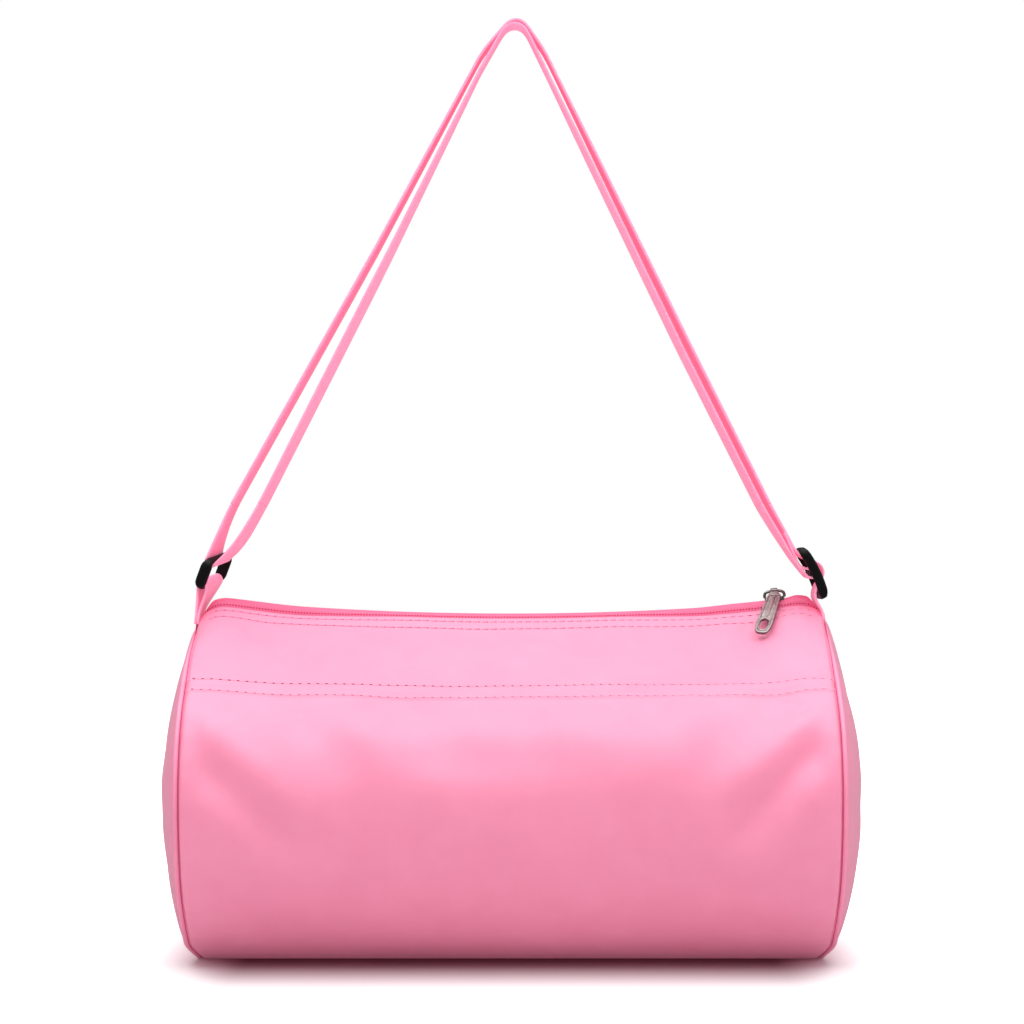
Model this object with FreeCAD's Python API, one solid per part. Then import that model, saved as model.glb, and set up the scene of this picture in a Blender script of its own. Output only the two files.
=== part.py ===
import FreeCAD, Part
import math
import os

from FreeCAD import Vector

# Barrel bag of pink nylon. Millimetres, +Z up, +X along the barrel, front towards -Y.
# The origin is on the floor, under the middle of the bag.

# Barrel
body_length = 400.0
body_depth = 236.0
side_height = 106.0
base_width = 66.0
base_trim = 1.0
shoulder_radius = 64.0
ridge_height_mid = 217.0
ridge_rise = 8.5
ridge_fall = 6.5
ridge_end_margin = 17.0
fabric_thickness = 1.2
end_bulge = 22.0
sewn_gap = 0.3

# Front slip pocket
pocket_hem_over_crease = 1.1
pocket_foot_height = 22.0
pocket_side_margin = 1.0

# Bound seams inside both ends
binding_width = 9.0
binding_thickness = 1.6

# Mouth and zipper
mouth_end_margin = 35.0
mouth_panel_width = 63.0
mouth_slot_width = 14.0
tape_width = 13.0
tape_thickness = 0.7
tape_edge_gap = 1.0
tape_flat_half = 6.4
coil_radius = 1.2
coil_gap = 0.4
coil_end_margin = 32.0
moving_gap = 0.3

# Zipper slider, bail and pull
slider_end_margin = 30.6
slider_length = 13.0
slider_width = 8.6
slider_plate = 1.3
slider_lip = 1.4
slider_bevel = 1.0
slider_floor_width = 6.0
slider_post_length = 2.4
slider_post_width = 1.4
bail_wire_radius = 1.0
bail_length = 12.0
bail_bend = 1.6
bail_clear_height = 3.3
eye_clearance = 0.08
eye_wall = 1.1
eye_length = 3.4
pull_length = 42.0
pull_width = 9.4
pull_thickness = 1.8
pull_hole_length = 6.0
pull_hole_width = 5.4
pull_rim = 2.2
pull_neck_width = 5.0
pull_corner = 2.8
pull_hole_corner = 2.2
pull_over_roof_deg = 0.5
pull_lean_deg = 19.0

# Webbing
webbing_width = 25.0
webbing_thickness = 1.5
strap_split_lift = 66.0
strap_split_gap = 0.5
strap_apex_lift = 395.0
strap_apex_offset = 2.5
outer_apex_radius = 16.0
inner_apex_radius = 11.0
inner_apex_drop = 7.0
outer_left_margin = 22.5
inner_left_margin = 40.5
outer_right_margin = 34.5
inner_right_margin = 40.0
bow_lift = 165.0
bow_radius = 140.0
outer_bow_share = 0.706
inner_bow_share = 0.699

# Rectangular ring in the left tab
ring_end_margin = 9.2
ring_lift = 21.2
ring_tilt_deg = 21.0
ring_twist_deg = 20.0
ring_width = 34.0
ring_side = 4.0
ring_bar_radius = 2.1
ring_bar_spacing = 15.0
ring_thickness = 5.6
bar_clearance = 0.4
tab_root_gap = 1.1

# Tri-glide adjuster on the right
glide_end_margin = 10.5
glide_lift = 24.0
glide_tilt_deg = 25.4
glide_width = 34.0
glide_height = 35.6
glide_thickness = 4.6
glide_side = 4.0
glide_bar = 4.4
glide_corner = 1.4
anchor_pass = 5.6
anchor_bulge = 5.6
sewn_end_length = 27.0
layer_gap = 0.6

# Worked-out values
half_length = body_length / 2
half_depth = body_depth / 2
half_base = base_width / 2
half_slot = mouth_slot_width / 2
ridge_end_distance = half_length - ridge_end_margin
mouth_half_length = half_length - mouth_end_margin
coil_start = half_length - coil_end_margin
slider_distance = half_length - slider_end_margin
shoulder_y = half_depth - shoulder_radius - half_slot
shoulder_z = ridge_height_mid - side_height
shoulder_reach = math.hypot(shoulder_y, shoulder_z)
roof_slope = math.atan2(shoulder_z, shoulder_y) - math.asin(shoulder_radius / shoulder_reach)
ridge_height_end = ridge_height_mid + ridge_rise
ridge_height_seam = ridge_height_end - ridge_fall
sag_radius = (ridge_end_distance**2 + ridge_rise**2) / (2 * ridge_rise)
crease_height = ridge_height_mid - mouth_panel_width * math.tan(roof_slope)
pocket_hem_height = crease_height + pocket_hem_over_crease
pull_drop_deg = math.degrees(roof_slope) + pull_over_roof_deg
outer_left_foot = outer_left_margin - half_length
inner_left_foot = inner_left_margin - half_length
outer_right_foot = half_length - outer_right_margin
inner_right_foot = half_length - inner_right_margin
outer_right_bow = outer_right_foot * outer_bow_share
inner_right_bow = inner_right_foot * inner_bow_share
ring_centre_x = ring_end_margin - half_length
glide_centre_x = half_length - glide_end_margin
ring_centre_z = ridge_height_seam + ring_lift
glide_centre_z = ridge_height_seam + glide_lift
strap_split_height = ridge_height_seam + strap_split_lift
strap_apex_height = ridge_height_seam + strap_apex_lift
bow_height = ridge_height_seam + bow_lift
far = 3 * body_length
tape_half_length = ridge_end_distance
Y_AXIS = Vector(0, 1, 0)
X_AXIS = Vector(1, 0, 0)


def save(node, shape):
    if not shape.isValid():
        print("not valid:", node)
    print(f"{node}: {len(shape.Solids)} solid, {shape.Volume:.1f} mm3")
    shape.exportStep(f"parts/{node}.step")


def ridge_height(x):
    """Height of the mouth's edge at x: an arc that sags, then falls to the end seam."""
    if abs(x) <= ridge_end_distance:
        return ridge_height_mid + sag_radius - math.sqrt(sag_radius**2 - x**2)
    share = (abs(x) - ridge_end_distance) / (half_length - ridge_end_distance)
    return ridge_height_end + share * (ridge_height_seam - ridge_height_end)


def closed_wire(edges):
    return Part.Wire([e.toShape() if hasattr(e, "toShape") else e for e in edges])


def barrel_section(x, inset, drop=0.0):
    """Outline across the barrel at x: flat base, let down by drop, round sides, pitched roof."""
    depth = half_depth - inset
    ridge = ridge_height(x) - inset / math.cos(roof_slope)
    rise = side_height - inset
    low_centre = (depth**2 - half_base**2 - rise**2) / (2 * (depth - half_base))
    low_radius = depth - low_centre
    sin_slope = math.sin(roof_slope)
    cos_slope = math.cos(roof_slope)
    reach = cos_slope * (ridge - side_height) - sin_slope * (depth - half_slot)
    shoulder = reach / (1 - sin_slope)
    centre = depth - shoulder
    low_angle = math.asin(rise / low_radius) / 2
    high_angle = (math.pi / 2 - roof_slope) / 2

    def at(y, z):
        return Vector(x, y, z)

    def half(side):
        base = at(side * half_base, inset - drop)
        foot = at(side * half_base, inset)
        low_mid = at(
            side * (low_centre + low_radius * math.cos(low_angle)),
            side_height - low_radius * math.sin(low_angle),
        )
        widest = at(side * depth, side_height)
        high_mid = at(
            side * (centre + shoulder * math.cos(high_angle)),
            side_height + shoulder * math.sin(high_angle),
        )
        eave = at(
            side * (centre + shoulder * sin_slope),
            side_height + shoulder * cos_slope,
        )
        edge = at(side * half_slot, ridge)
        return base, foot, low_mid, widest, high_mid, eave, edge

    rb, rf, rl, rw, rh, re, rr = half(1)
    lb, lf, ll, lw, lh, le, lr = half(-1)
    sides_of_base = [Part.LineSegment(rb, rf), Part.LineSegment(lf, lb)] if drop else []
    edges = [
        Part.LineSegment(lb, rb),
        *sides_of_base[:1],
        Part.Arc(rf, rl, rw),
        Part.Arc(rw, rh, re),
        Part.LineSegment(re, rr),
        Part.LineSegment(rr, lr),
        Part.LineSegment(lr, le),
        Part.Arc(le, lh, lw),
        Part.Arc(lw, ll, lf),
        *sides_of_base[1:],
    ]
    return closed_wire(edges)


def barrel_solid(inset, overrun=0.0):
    """Solid inside the barrel's outline, drawn in by inset, from end seam to end seam."""
    stations = [-1.0, -0.5, 0.0, 0.5, 1.0]
    sections = [barrel_section(s * ridge_end_distance, inset, base_trim) for s in stations]
    solid = Part.makeLoft(sections, True, False)
    for side in (-1, 1):
        near = barrel_section(side * ridge_end_distance, inset, base_trim)
        seam = barrel_section(side * half_length, inset, base_trim)
        solid = solid.fuse(Part.makeLoft([near, seam], True, True))
        if overrun:
            face = Part.Face(seam)
            solid = solid.fuse(face.extrude(Vector(side * overrun, 0, 0)))
    return solid.cut(box(-far, far, -far, far, -far, inset))


def box(x0, x1, y0, y1, z0, z1):
    return Part.makeBox(x1 - x0, y1 - y0, z1 - z0, Vector(x0, y0, z0))


def rounded_path(points, radii):
    """Straight runs joined by tangent arcs, through the corners given."""
    edges = []
    start = points[0]
    for corner, after, radius in zip(points[1:], points[2:], radii):
        back = (start - corner).normalize()
        ahead = (after - corner).normalize()
        turn = back.getAngle(ahead)
        cut = radius / math.tan(turn / 2)
        bisector = (back + ahead).normalize()
        centre = corner + bisector * (radius / math.sin(turn / 2))
        first = corner + back * cut
        last = corner + ahead * cut
        edges.append(Part.LineSegment(start, first).toShape())
        edges.append(Part.Arc(first, centre - bisector * radius, last).toShape())
        start = last
    edges.append(Part.LineSegment(start, points[-1]).toShape())
    return Part.Wire(edges)


def strip_end(centre, across, through):
    """Rectangle across a strip of webbing: its width runs along one direction."""
    w = across * (webbing_width / 2)
    t = through * (webbing_thickness / 2)
    corners = [centre - w - t, centre + w - t, centre + w + t, centre - w + t]
    return Part.makePolygon(corners + corners[:1])


def webbing_run(points, radii):
    """Flat webbing along a path in the XZ plane, with its width along Y."""
    path = rounded_path(points, radii)
    along = (points[1] - points[0]).normalize()
    sweep = Part.BRepOffsetAPI.MakePipeShell(path)
    sweep.setBiNormalMode(Y_AXIS)
    sweep.add(strip_end(points[0], Y_AXIS, along.cross(Y_AXIS)))
    sweep.build()
    sweep.makeSolid()
    return sweep.shape()


def ring_leg(bar_side, free_end):
    """Webbing from a ring bar to a free end, turning until its width lies along Y."""
    along = (free_end - bar_side).normalize()
    through = along.cross(Y_AXIS).normalize()
    if through.dot(ring_out) < 0:
        through = through * -1
    first = strip_end(bar_side, ring_across, ring_out)
    last = strip_end(free_end, Y_AXIS, through)
    return Part.makeLoft([first, last], True, True)


def short_of(point, towards):
    """Point a split gap back from an end of webbing."""
    return point + (towards - point).normalize() * strap_split_gap


def xz(x, z):
    return Vector(x, 0, z)


# Body, end panels, seam bindings and pocket


def body_shell():
    return barrel_solid(0.0).cut(barrel_solid(fabric_thickness, fabric_thickness))


def mouth_window(grow):
    """Block over the part of the roof that opens, larger by grow on each side."""
    half_x = mouth_half_length + grow
    half_y = half_slot + mouth_panel_width + grow
    return box(-half_x, half_x, -half_y, half_y, side_height, far)


def slot_block(grow):
    half_y = half_slot + grow
    return box(-tape_half_length, tape_half_length, -half_y, half_y, side_height, far)


def body_panel(shell):
    return shell.cut(mouth_window(moving_gap / 2)).cut(slot_block(0.0))


def mouth_panel(shell, side):
    """Half of the roof between the crease and the zipper, on one side."""
    half_y = half_slot + mouth_panel_width - moving_gap / 2
    half_x = mouth_half_length - moving_gap / 2
    y0, y1 = sorted((side * half_slot, side * half_y))
    return shell.common(box(-half_x, half_x, y0, y1, side_height, far))


def end_panel(side):
    """Domed cap sewn round the end seam."""
    seam = barrel_section(side * half_length, 0.0)
    block = Part.Face(seam).extrude(Vector(side * 2 * end_bulge, 0, 0))
    reach = max(half_depth, side_height, ridge_height_seam - side_height)
    dome_radius = (reach**2 + end_bulge**2) / (2 * end_bulge)
    centre_x = side * (half_length + sewn_gap + end_bulge - dome_radius)
    centre = Vector(centre_x, 0, side_height)
    outer = Part.makeSphere(dome_radius, centre)
    inner = Part.makeSphere(dome_radius - fabric_thickness, centre)
    cap = block.common(outer).cut(inner)
    edge_face = Part.Face(seam)
    hollow = Part.Face(barrel_section(side * half_length, fabric_thickness))
    rim_depth = Vector(side * 2 * end_bulge, 0, 0)
    rim = edge_face.extrude(rim_depth).cut(hollow.extrude(rim_depth)).common(outer)
    x0, x1 = sorted((side * (half_length + sewn_gap), side * far))
    return cap.fuse(rim).common(box(x0, x1, -far, far, 0, far)).removeSplitter()


def seam_binding(side):
    """Tape that binds the raw edges of an end seam, just inside the barrel."""
    inset = fabric_thickness + sewn_gap
    seam_x = side * half_length
    outer = Part.Face(barrel_section(seam_x, inset))
    inner = Part.Face(barrel_section(seam_x, inset + binding_thickness))
    reach = Vector(-side * binding_width, 0, 0)
    return outer.extrude(reach).cut(inner.extrude(reach))


def front_pocket_panel():
    """Second layer over the front, open along its hem and sewn at both ends and below."""
    outer = barrel_solid(-fabric_thickness - sewn_gap)
    layer = outer.cut(barrel_solid(-sewn_gap))
    half_x = half_length - pocket_side_margin
    front = box(-half_x, half_x, -far, 0, pocket_foot_height, pocket_hem_height)
    return layer.common(front)


# Zipper: tapes and coils follow the sagging arc of the mouth, turned about its centre

sag_centre = Vector(0, 0, ridge_height_mid + sag_radius)


def tape_top(y):
    """Height of the tape's upper face over the mouth's edge, at a distance y from the middle."""
    under_fabric = (fabric_thickness + sewn_gap) / math.cos(roof_slope)
    bent_y = max(y, tape_flat_half)
    return (half_slot - bent_y) * math.tan(roof_slope) - under_fabric


def along_arc(face, start_x, end_x):
    """Turn a face drawn at mid-length from one x to another along the mouth's arc."""
    start = math.degrees(math.asin(start_x / sag_radius))
    end = math.degrees(math.asin(end_x / sag_radius))
    placed = face.copy()
    placed.rotate(sag_centre, Y_AXIS, -start)
    return placed.revolve(sag_centre, Y_AXIS, start - end)


def zipper_tape(side):
    inner_y = tape_edge_gap
    outer_y = tape_edge_gap + tape_width * math.cos(roof_slope)
    drop = tape_thickness / math.cos(roof_slope)
    z = ridge_height_mid
    across = [inner_y, tape_flat_half, outer_y]
    upper = [Vector(0, side * y, z + tape_top(y)) for y in across]
    lower = [Vector(0, side * y, z + tape_top(y) - drop) for y in across]
    corners = upper + lower[::-1]
    face = Part.Face(Part.makePolygon(corners + corners[:1]))
    return along_arc(face, -tape_half_length + moving_gap, tape_half_length - moving_gap)


coil_y = coil_gap / 2 + coil_radius
coil_height = tape_top(coil_y) + coil_radius + sewn_gap / 4


def zipper_coil(side):
    centre = Vector(0, side * coil_y, ridge_height_mid + coil_height)
    circle = Part.Wire(Part.makeCircle(coil_radius, centre, X_AXIS))
    return along_arc(Part.Face(circle), -tape_half_length + moving_gap, coil_start)


# Slider parts are drawn upright at mid-length, then carried along the arc to their place

plate_low = ridge_height_mid + coil_height + coil_radius + moving_gap
plate_high = plate_low + slider_plate
bail_height = plate_high + bail_clear_height + bail_wire_radius
slider_turn_deg = math.degrees(math.asin(slider_distance / sag_radius))


def at_slider(shape):
    placed = shape.copy()
    placed.rotate(sag_centre, Y_AXIS, -slider_turn_deg)
    return placed


def zipper_slider():
    half_x = slider_length / 2
    half_y = slider_width / 2
    top = box(-half_x, half_x, -half_y, half_y, plate_low - slider_lip, plate_high)
    hollow_y = half_y - slider_plate / 2
    top = top.cut(box(-far, far, -hollow_y, hollow_y, 0, plate_low))
    upper_edges = [e for e in top.Edges if e.BoundBox.ZMin > plate_high - slider_bevel]
    top = top.makeChamfer(slider_bevel, upper_edges)
    floor_y = slider_floor_width / 2
    tape_low = ridge_height_mid + tape_top(floor_y) - tape_thickness / math.cos(roof_slope)
    floor_high = tape_low - moving_gap
    floor = box(-half_x, half_x, -floor_y, floor_y, floor_high - slider_plate, floor_high)
    post_y = slider_post_width / 2
    post_x = half_x - slider_plate
    post = box(post_x - slider_post_length, post_x, -post_y, post_y, floor_high, plate_low)
    return at_slider(top.fuse([floor, post]).removeSplitter())


def zipper_bail():
    """Wire bridge over the slider that the pull hangs on."""
    half = bail_length / 2 - bail_wire_radius
    foot_z = plate_high
    points = [
        Vector(-half, 0, foot_z),
        Vector(-half, 0, bail_height),
        Vector(half, 0, bail_height),
        Vector(half, 0, foot_z),
    ]
    path = rounded_path(points, [bail_bend, bail_bend])
    section = Part.Wire(Part.makeCircle(bail_wire_radius, points[0], Vector(0, 0, 1)))
    sweep = Part.BRepOffsetAPI.MakePipeShell(path)
    sweep.add(section)
    sweep.build()
    sweep.makeSolid()
    return at_slider(sweep.shape())


def zipper_pull():
    """Flat pull with a rolled eye round the bail, leaning over the front of the roof."""
    eye_inner = bail_wire_radius + eye_clearance
    eye_outer = eye_inner + eye_wall
    pivot = Vector(0, 0, bail_height)
    start = pivot - X_AXIS * (eye_length / 2)
    eye = Part.makeCylinder(eye_outer, eye_length, start, X_AXIS)
    half_w = pull_width / 2
    half_t = pull_thickness / 2
    neck = box(
        -pull_neck_width / 2, pull_neck_width / 2,
        -eye_outer - pull_rim, -eye_inner - eye_wall / 2,
        -half_t, half_t,
    )
    tip = -eye_outer - pull_length
    body = box(-half_w, half_w, tip, -eye_outer - pull_rim / 2, -half_t, half_t)
    corners = [e for e in body.Edges if e.BoundBox.ZLength > half_t]
    body = body.makeFillet(pull_corner, corners)
    hole_y = tip + pull_rim
    hole = box(
        -pull_hole_width / 2, pull_hole_width / 2,
        hole_y, hole_y + pull_hole_length,
        -pull_thickness, pull_thickness,
    )
    hole_corners = [e for e in hole.Edges if e.BoundBox.ZLength > half_t]
    body = body.cut(hole.makeFillet(pull_hole_corner, hole_corners))
    plate = neck.fuse(body)
    lean_point = Vector(0, -eye_outer - pull_rim, 0)
    plate.rotate(lean_point, Vector(0, 0, 1), -pull_lean_deg)
    neck_again = neck.fuse(plate)
    neck_again.translate(pivot)
    neck_again.rotate(pivot, X_AXIS, pull_drop_deg)
    pull = eye.fuse(neck_again)
    hole_through = Part.makeCylinder(eye_inner, far, pivot - X_AXIS * (far / 2), X_AXIS)
    return at_slider(pull.cut(hole_through).removeSplitter())


# Left side: tab, ring and the turn of the strap through the ring

ring_tilt = math.radians(ring_tilt_deg)
ring_twist = math.radians(ring_twist_deg)
ring_centre = xz(ring_centre_x, ring_centre_z)
ring_up = Vector(math.sin(ring_tilt), 0, math.cos(ring_tilt))
ring_across = Y_AXIS * math.cos(ring_twist) + ring_up.cross(Y_AXIS) * (-math.sin(ring_twist))
ring_out = ring_across.cross(ring_up)
upper_bar = ring_centre + ring_up * (ring_bar_spacing / 2)
lower_bar = ring_centre - ring_up * (ring_bar_spacing / 2)
turn_radius = ring_bar_radius + bar_clearance + webbing_thickness / 2


def ring_bar(centre):
    start = centre - ring_across * (ring_width / 2 - ring_side / 2)
    return Part.makeCylinder(ring_bar_radius, ring_width - ring_side, start, ring_across)


def strap_ring():
    """Rectangular ring: two round bars held by two side pieces."""
    shape = ring_bar(upper_bar).fuse(ring_bar(lower_bar))
    for side in (-1, 1):
        middle = ring_centre + ring_across * (side * (ring_width - ring_side) / 2)
        half_rise = ring_bar_spacing / 2
        round_end = ring_thickness / 2
        face_start = middle - ring_across * (ring_side / 2)
        along = ring_across * ring_side
        corners = [
            face_start + ring_out * round_end - ring_up * half_rise,
            face_start + ring_out * round_end + ring_up * half_rise,
            face_start - ring_out * round_end + ring_up * half_rise,
            face_start - ring_out * round_end - ring_up * half_rise,
        ]
        top = face_start + ring_up * (half_rise + round_end)
        bottom = face_start - ring_up * (half_rise + round_end)
        outline = closed_wire([
            Part.LineSegment(corners[0], corners[1]),
            Part.Arc(corners[1], top, corners[2]),
            Part.LineSegment(corners[2], corners[3]),
            Part.Arc(corners[3], bottom, corners[0]),
        ])
        shape = shape.fuse(Part.Face(outline).extrude(along))
    return shape.removeSplitter()


def half_turn(bar_centre, over):
    """Webbing bent half round a ring bar, over the side given."""
    start = bar_centre + ring_out * turn_radius
    section = Part.Face(strip_end(start, ring_across, ring_out))
    sense = 1 if ring_across.cross(ring_out).dot(over) > 0 else -1
    return section.revolve(bar_centre, ring_across, sense * 180)


def left_tab():
    """Short webbing loop, sewn into the end seam, that carries the ring."""
    root_z = ridge_height_seam + tab_root_gap
    outer_root = xz(-half_length - webbing_thickness / 2 - layer_gap / 4, root_z)
    inner_root = xz(-half_length + webbing_thickness / 2 + layer_gap / 4, root_z)
    turn = half_turn(lower_bar, ring_up)
    outer_leg = ring_leg(lower_bar - ring_out * turn_radius, outer_root)
    inner_leg = ring_leg(lower_bar + ring_out * turn_radius, inner_root)
    return turn.fuse([outer_leg, inner_leg]).removeSplitter()


def strap_ring_turn():
    """The strap's webbing where it passes through the ring and comes back."""
    outer_end = xz(outer_left_foot, strap_split_height)
    inner_end = xz(inner_left_foot, strap_split_height)
    outer_side = upper_bar - ring_out * turn_radius
    inner_side = upper_bar + ring_out * turn_radius
    turn = half_turn(upper_bar, ring_up * -1)
    outer_leg = ring_leg(outer_side, short_of(outer_end, outer_side))
    inner_leg = ring_leg(inner_side, short_of(inner_end, inner_side))
    return turn.fuse([outer_leg, inner_leg]).removeSplitter()


# Right side: tri-glide, anchored webbing and sewn end

glide_tilt = math.radians(glide_tilt_deg)
glide_centre = xz(glide_centre_x, glide_centre_z)
glide_up = Vector(-math.sin(glide_tilt), 0, math.cos(glide_tilt))
glide_out = Vector(math.cos(glide_tilt), 0, math.sin(glide_tilt))
glide_bar_radius = glide_bar / 2


def on_glide(out, up):
    return glide_centre + glide_out * out + glide_up * up


def tri_glide():
    """Three-bar adjuster, its centre bar round so that webbing turns on it."""
    half_h = glide_height / 2
    half_t = glide_thickness / 2
    half_w = glide_width / 2
    frame = box(-half_t, half_t, -half_w, half_w, -half_h, half_h)
    corners = [e for e in frame.Edges if e.BoundBox.XLength > half_t]
    frame = frame.makeFillet(glide_corner * 2, corners)
    slot_y = half_w - glide_side
    window = box(-far, far, -slot_y, slot_y, -half_h + glide_bar, half_h - glide_bar)
    frame = frame.cut(window)
    bar_start = Vector(0, glide_side / 2 - half_w, 0)
    bar = Part.makeCylinder(glide_bar_radius, glide_width - glide_side, bar_start, Y_AXIS)
    shape = frame.fuse(bar)
    shape.rotate(Vector(0, 0, 0), Y_AXIS, -glide_tilt_deg)
    shape.translate(glide_centre)
    return shape.removeSplitter()


def right_anchor_webbing():
    """Webbing from the right end seam, over the tri-glide's centre bar, to the outer run."""
    root = xz(half_length - webbing_thickness / 2, ridge_height_seam + tab_root_gap)
    pass_up = glide_height / 2 - glide_bar / 2
    points = [
        root,
        on_glide(-anchor_pass, -pass_up),
        on_glide(anchor_bulge, -glide_bar_radius / 2),
        on_glide(anchor_bulge, glide_bar_radius / 2),
        on_glide(-anchor_pass, pass_up),
        short_of(xz(outer_right_foot, strap_split_height), on_glide(-anchor_pass, pass_up)),
    ]
    bend = 2 * webbing_thickness
    return webbing_run(points, [bend, bend / 4, bend / 4, bend])


def strap_sewn_end():
    """End of the strap, folded round the tri-glide's centre bar and sewn back on itself."""
    inside = anchor_pass + webbing_thickness + layer_gap
    wrap = glide_bar_radius + bar_clearance + webbing_thickness / 2
    fold = inside + webbing_thickness + layer_gap
    first = on_glide(-fold, glide_bar_radius)
    points = [
        short_of(xz(inner_right_foot, strap_split_height), first),
        first,
        on_glide(-glide_bar_radius, -wrap),
        on_glide(wrap, -wrap),
        on_glide(wrap, wrap),
        on_glide(-glide_bar_radius, wrap),
        on_glide(-inside, wrap + glide_bar_radius),
        on_glide(-inside, sewn_end_length),
    ]
    tight = wrap - bar_clearance / 4
    soft = webbing_thickness
    return webbing_run(points, [soft, soft, tight, tight, soft, soft])


# The two long runs of the doubled shoulder strap


def strap_outer_run():
    apex = xz(strap_apex_offset, strap_apex_height)
    points = [
        xz(outer_left_foot, strap_split_height),
        apex,
        xz(outer_right_bow, bow_height),
        xz(outer_right_foot, strap_split_height),
    ]
    return webbing_run(points, [outer_apex_radius, bow_radius])


def strap_inner_run():
    apex = xz(strap_apex_offset, strap_apex_height - inner_apex_drop)
    points = [
        xz(inner_left_foot, strap_split_height),
        apex,
        xz(inner_right_bow, bow_height),
        xz(inner_right_foot, strap_split_height),
    ]
    return webbing_run(points, [inner_apex_radius, bow_radius])


def build():
    os.makedirs("parts", exist_ok=True)
    shell = body_shell()
    save("body_panel", body_panel(shell))
    save("front_mouth_panel", mouth_panel(shell, -1))
    save("rear_mouth_panel", mouth_panel(shell, 1))
    save("front_pocket_panel", front_pocket_panel())
    for name, side in (("left", -1), ("right", 1)):
        save(f"{name}_end_panel", end_panel(side))
        save(f"{name}_seam_binding", seam_binding(side))
    for name, side in (("front", -1), ("rear", 1)):
        save(f"zipper_tape_{name}", zipper_tape(side))
        save(f"zipper_coil_{name}", zipper_coil(side))
    save("zipper_slider", zipper_slider())
    save("zipper_bail", zipper_bail())
    save("zipper_pull", zipper_pull())
    save("left_tab", left_tab())
    save("strap_ring", strap_ring())
    save("strap_ring_turn", strap_ring_turn())
    save("tri_glide", tri_glide())
    save("right_anchor_webbing", right_anchor_webbing())
    save("strap_sewn_end", strap_sewn_end())
    save("strap_outer_run", strap_outer_run())
    save("strap_inner_run", strap_inner_run())


build()
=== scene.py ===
# %% [markdown]
# # A pink nylon barrel bag
#
# The bag is a soft tube with two domed ends. A coil zipper runs along its top, a slip pocket covers
# its front, and a doubled shoulder strap of flat webbing rises from a ring on the left and an
# adjuster on the right. The CAD model gives the bodies and joints. This lesson dresses them.

import math

import bmesh
import bpy
import numpy as np
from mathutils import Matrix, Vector


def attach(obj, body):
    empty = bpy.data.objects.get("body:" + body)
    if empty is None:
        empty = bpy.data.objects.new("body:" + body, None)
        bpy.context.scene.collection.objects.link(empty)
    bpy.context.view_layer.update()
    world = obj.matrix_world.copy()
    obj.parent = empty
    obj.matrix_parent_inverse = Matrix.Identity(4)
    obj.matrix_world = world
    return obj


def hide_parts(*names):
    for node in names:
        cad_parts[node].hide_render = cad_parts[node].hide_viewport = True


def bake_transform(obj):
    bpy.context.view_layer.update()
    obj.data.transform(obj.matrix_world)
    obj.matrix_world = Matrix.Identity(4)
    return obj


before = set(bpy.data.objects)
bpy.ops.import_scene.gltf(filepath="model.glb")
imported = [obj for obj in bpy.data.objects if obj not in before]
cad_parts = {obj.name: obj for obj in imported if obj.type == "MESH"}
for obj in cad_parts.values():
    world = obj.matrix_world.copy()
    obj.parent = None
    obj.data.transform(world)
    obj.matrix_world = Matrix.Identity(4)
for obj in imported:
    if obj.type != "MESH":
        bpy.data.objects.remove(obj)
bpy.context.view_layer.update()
MM = 0.001

# %% [markdown]
# ## Helpers
#
# These functions keep the later cells short. The first ones make points and objects. The others
# build shader trees, where every input takes either a plain value or another node's output.

# %% Points, objects and nodes


def xyz(x, y, z):
    """Points from coordinates, any of which may be a single number."""
    return np.stack(np.broadcast_arrays(x, y, z), axis=-1)


def unit(vectors):
    return vectors / np.linalg.norm(vectors, axis=-1, keepdims=True)


def turns(count):
    """Angles spaced evenly round a circle."""
    return 2 * math.pi * np.arange(count) / count


def link_object(name, data):
    obj = bpy.data.objects.new(name, data)
    bpy.context.collection.objects.link(obj)
    return obj


def feed(tree, socket, value):
    """Link an input if the value is another node's output, or else set it."""
    if isinstance(value, bpy.types.NodeSocket):
        tree.links.new(value, socket)
    else:
        socket.default_value = value


def add_node(tree, kind, *feeds, **settings):
    """New node: feeds fill its inputs in order, and settings with a capital fill inputs by name."""
    node = tree.nodes.new(kind)
    for key, value in settings.items():
        if key[0].islower():
            setattr(node, key, value)
    for socket, value in zip(node.inputs, feeds):
        feed(tree, socket, value)
    for key, value in settings.items():
        if key[0].isupper():
            feed(tree, node.inputs[key.replace("_", " ")], value)
    return node


def maths(tree, operation, *feeds):
    return add_node(tree, "ShaderNodeMath", *feeds, operation=operation).outputs[0]


def vector_maths(tree, operation, *feeds):
    return add_node(tree, "ShaderNodeVectorMath", *feeds, operation=operation).outputs[0]


def in_range(tree, value, low, high, to_low, to_high, **settings):
    return add_node(tree, "ShaderNodeMapRange", value, low, high, to_low, to_high, **settings).outputs[0]


def mixed(tree, share, first, second):
    """Colour between two others. Sockets 6 and 7 are the colour inputs, 2 the colour output."""
    node = add_node(tree, "ShaderNodeMix", share, data_type="RGBA")
    feed(tree, node.inputs[6], first)
    feed(tree, node.inputs[7], second)
    return node.outputs[2]


def noise(tree, scale, detail, roughness=0.5):
    place = add_node(tree, "ShaderNodeTexCoord").outputs["Object"]
    settings = {"Vector": place, "Scale": scale, "Detail": detail, "Roughness": roughness}
    return add_node(tree, "ShaderNodeTexNoise", **settings).outputs["Fac"]


def ramp(tree, share, dark, light, low=0.0, high=1.0):
    node = add_node(tree, "ShaderNodeValToRGB", share)
    for stop, colour, place in zip(node.color_ramp.elements, (dark, light), (low, high)):
        stop.color = (*colour, 1)
        stop.position = place
    return node.outputs["Color"]


def bump(tree, height, strength, distance, **below):
    settings = {"Height": height, "Strength": strength, "Distance": distance}
    return add_node(tree, "ShaderNodeBump", **settings, **below).outputs["Normal"]


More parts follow.
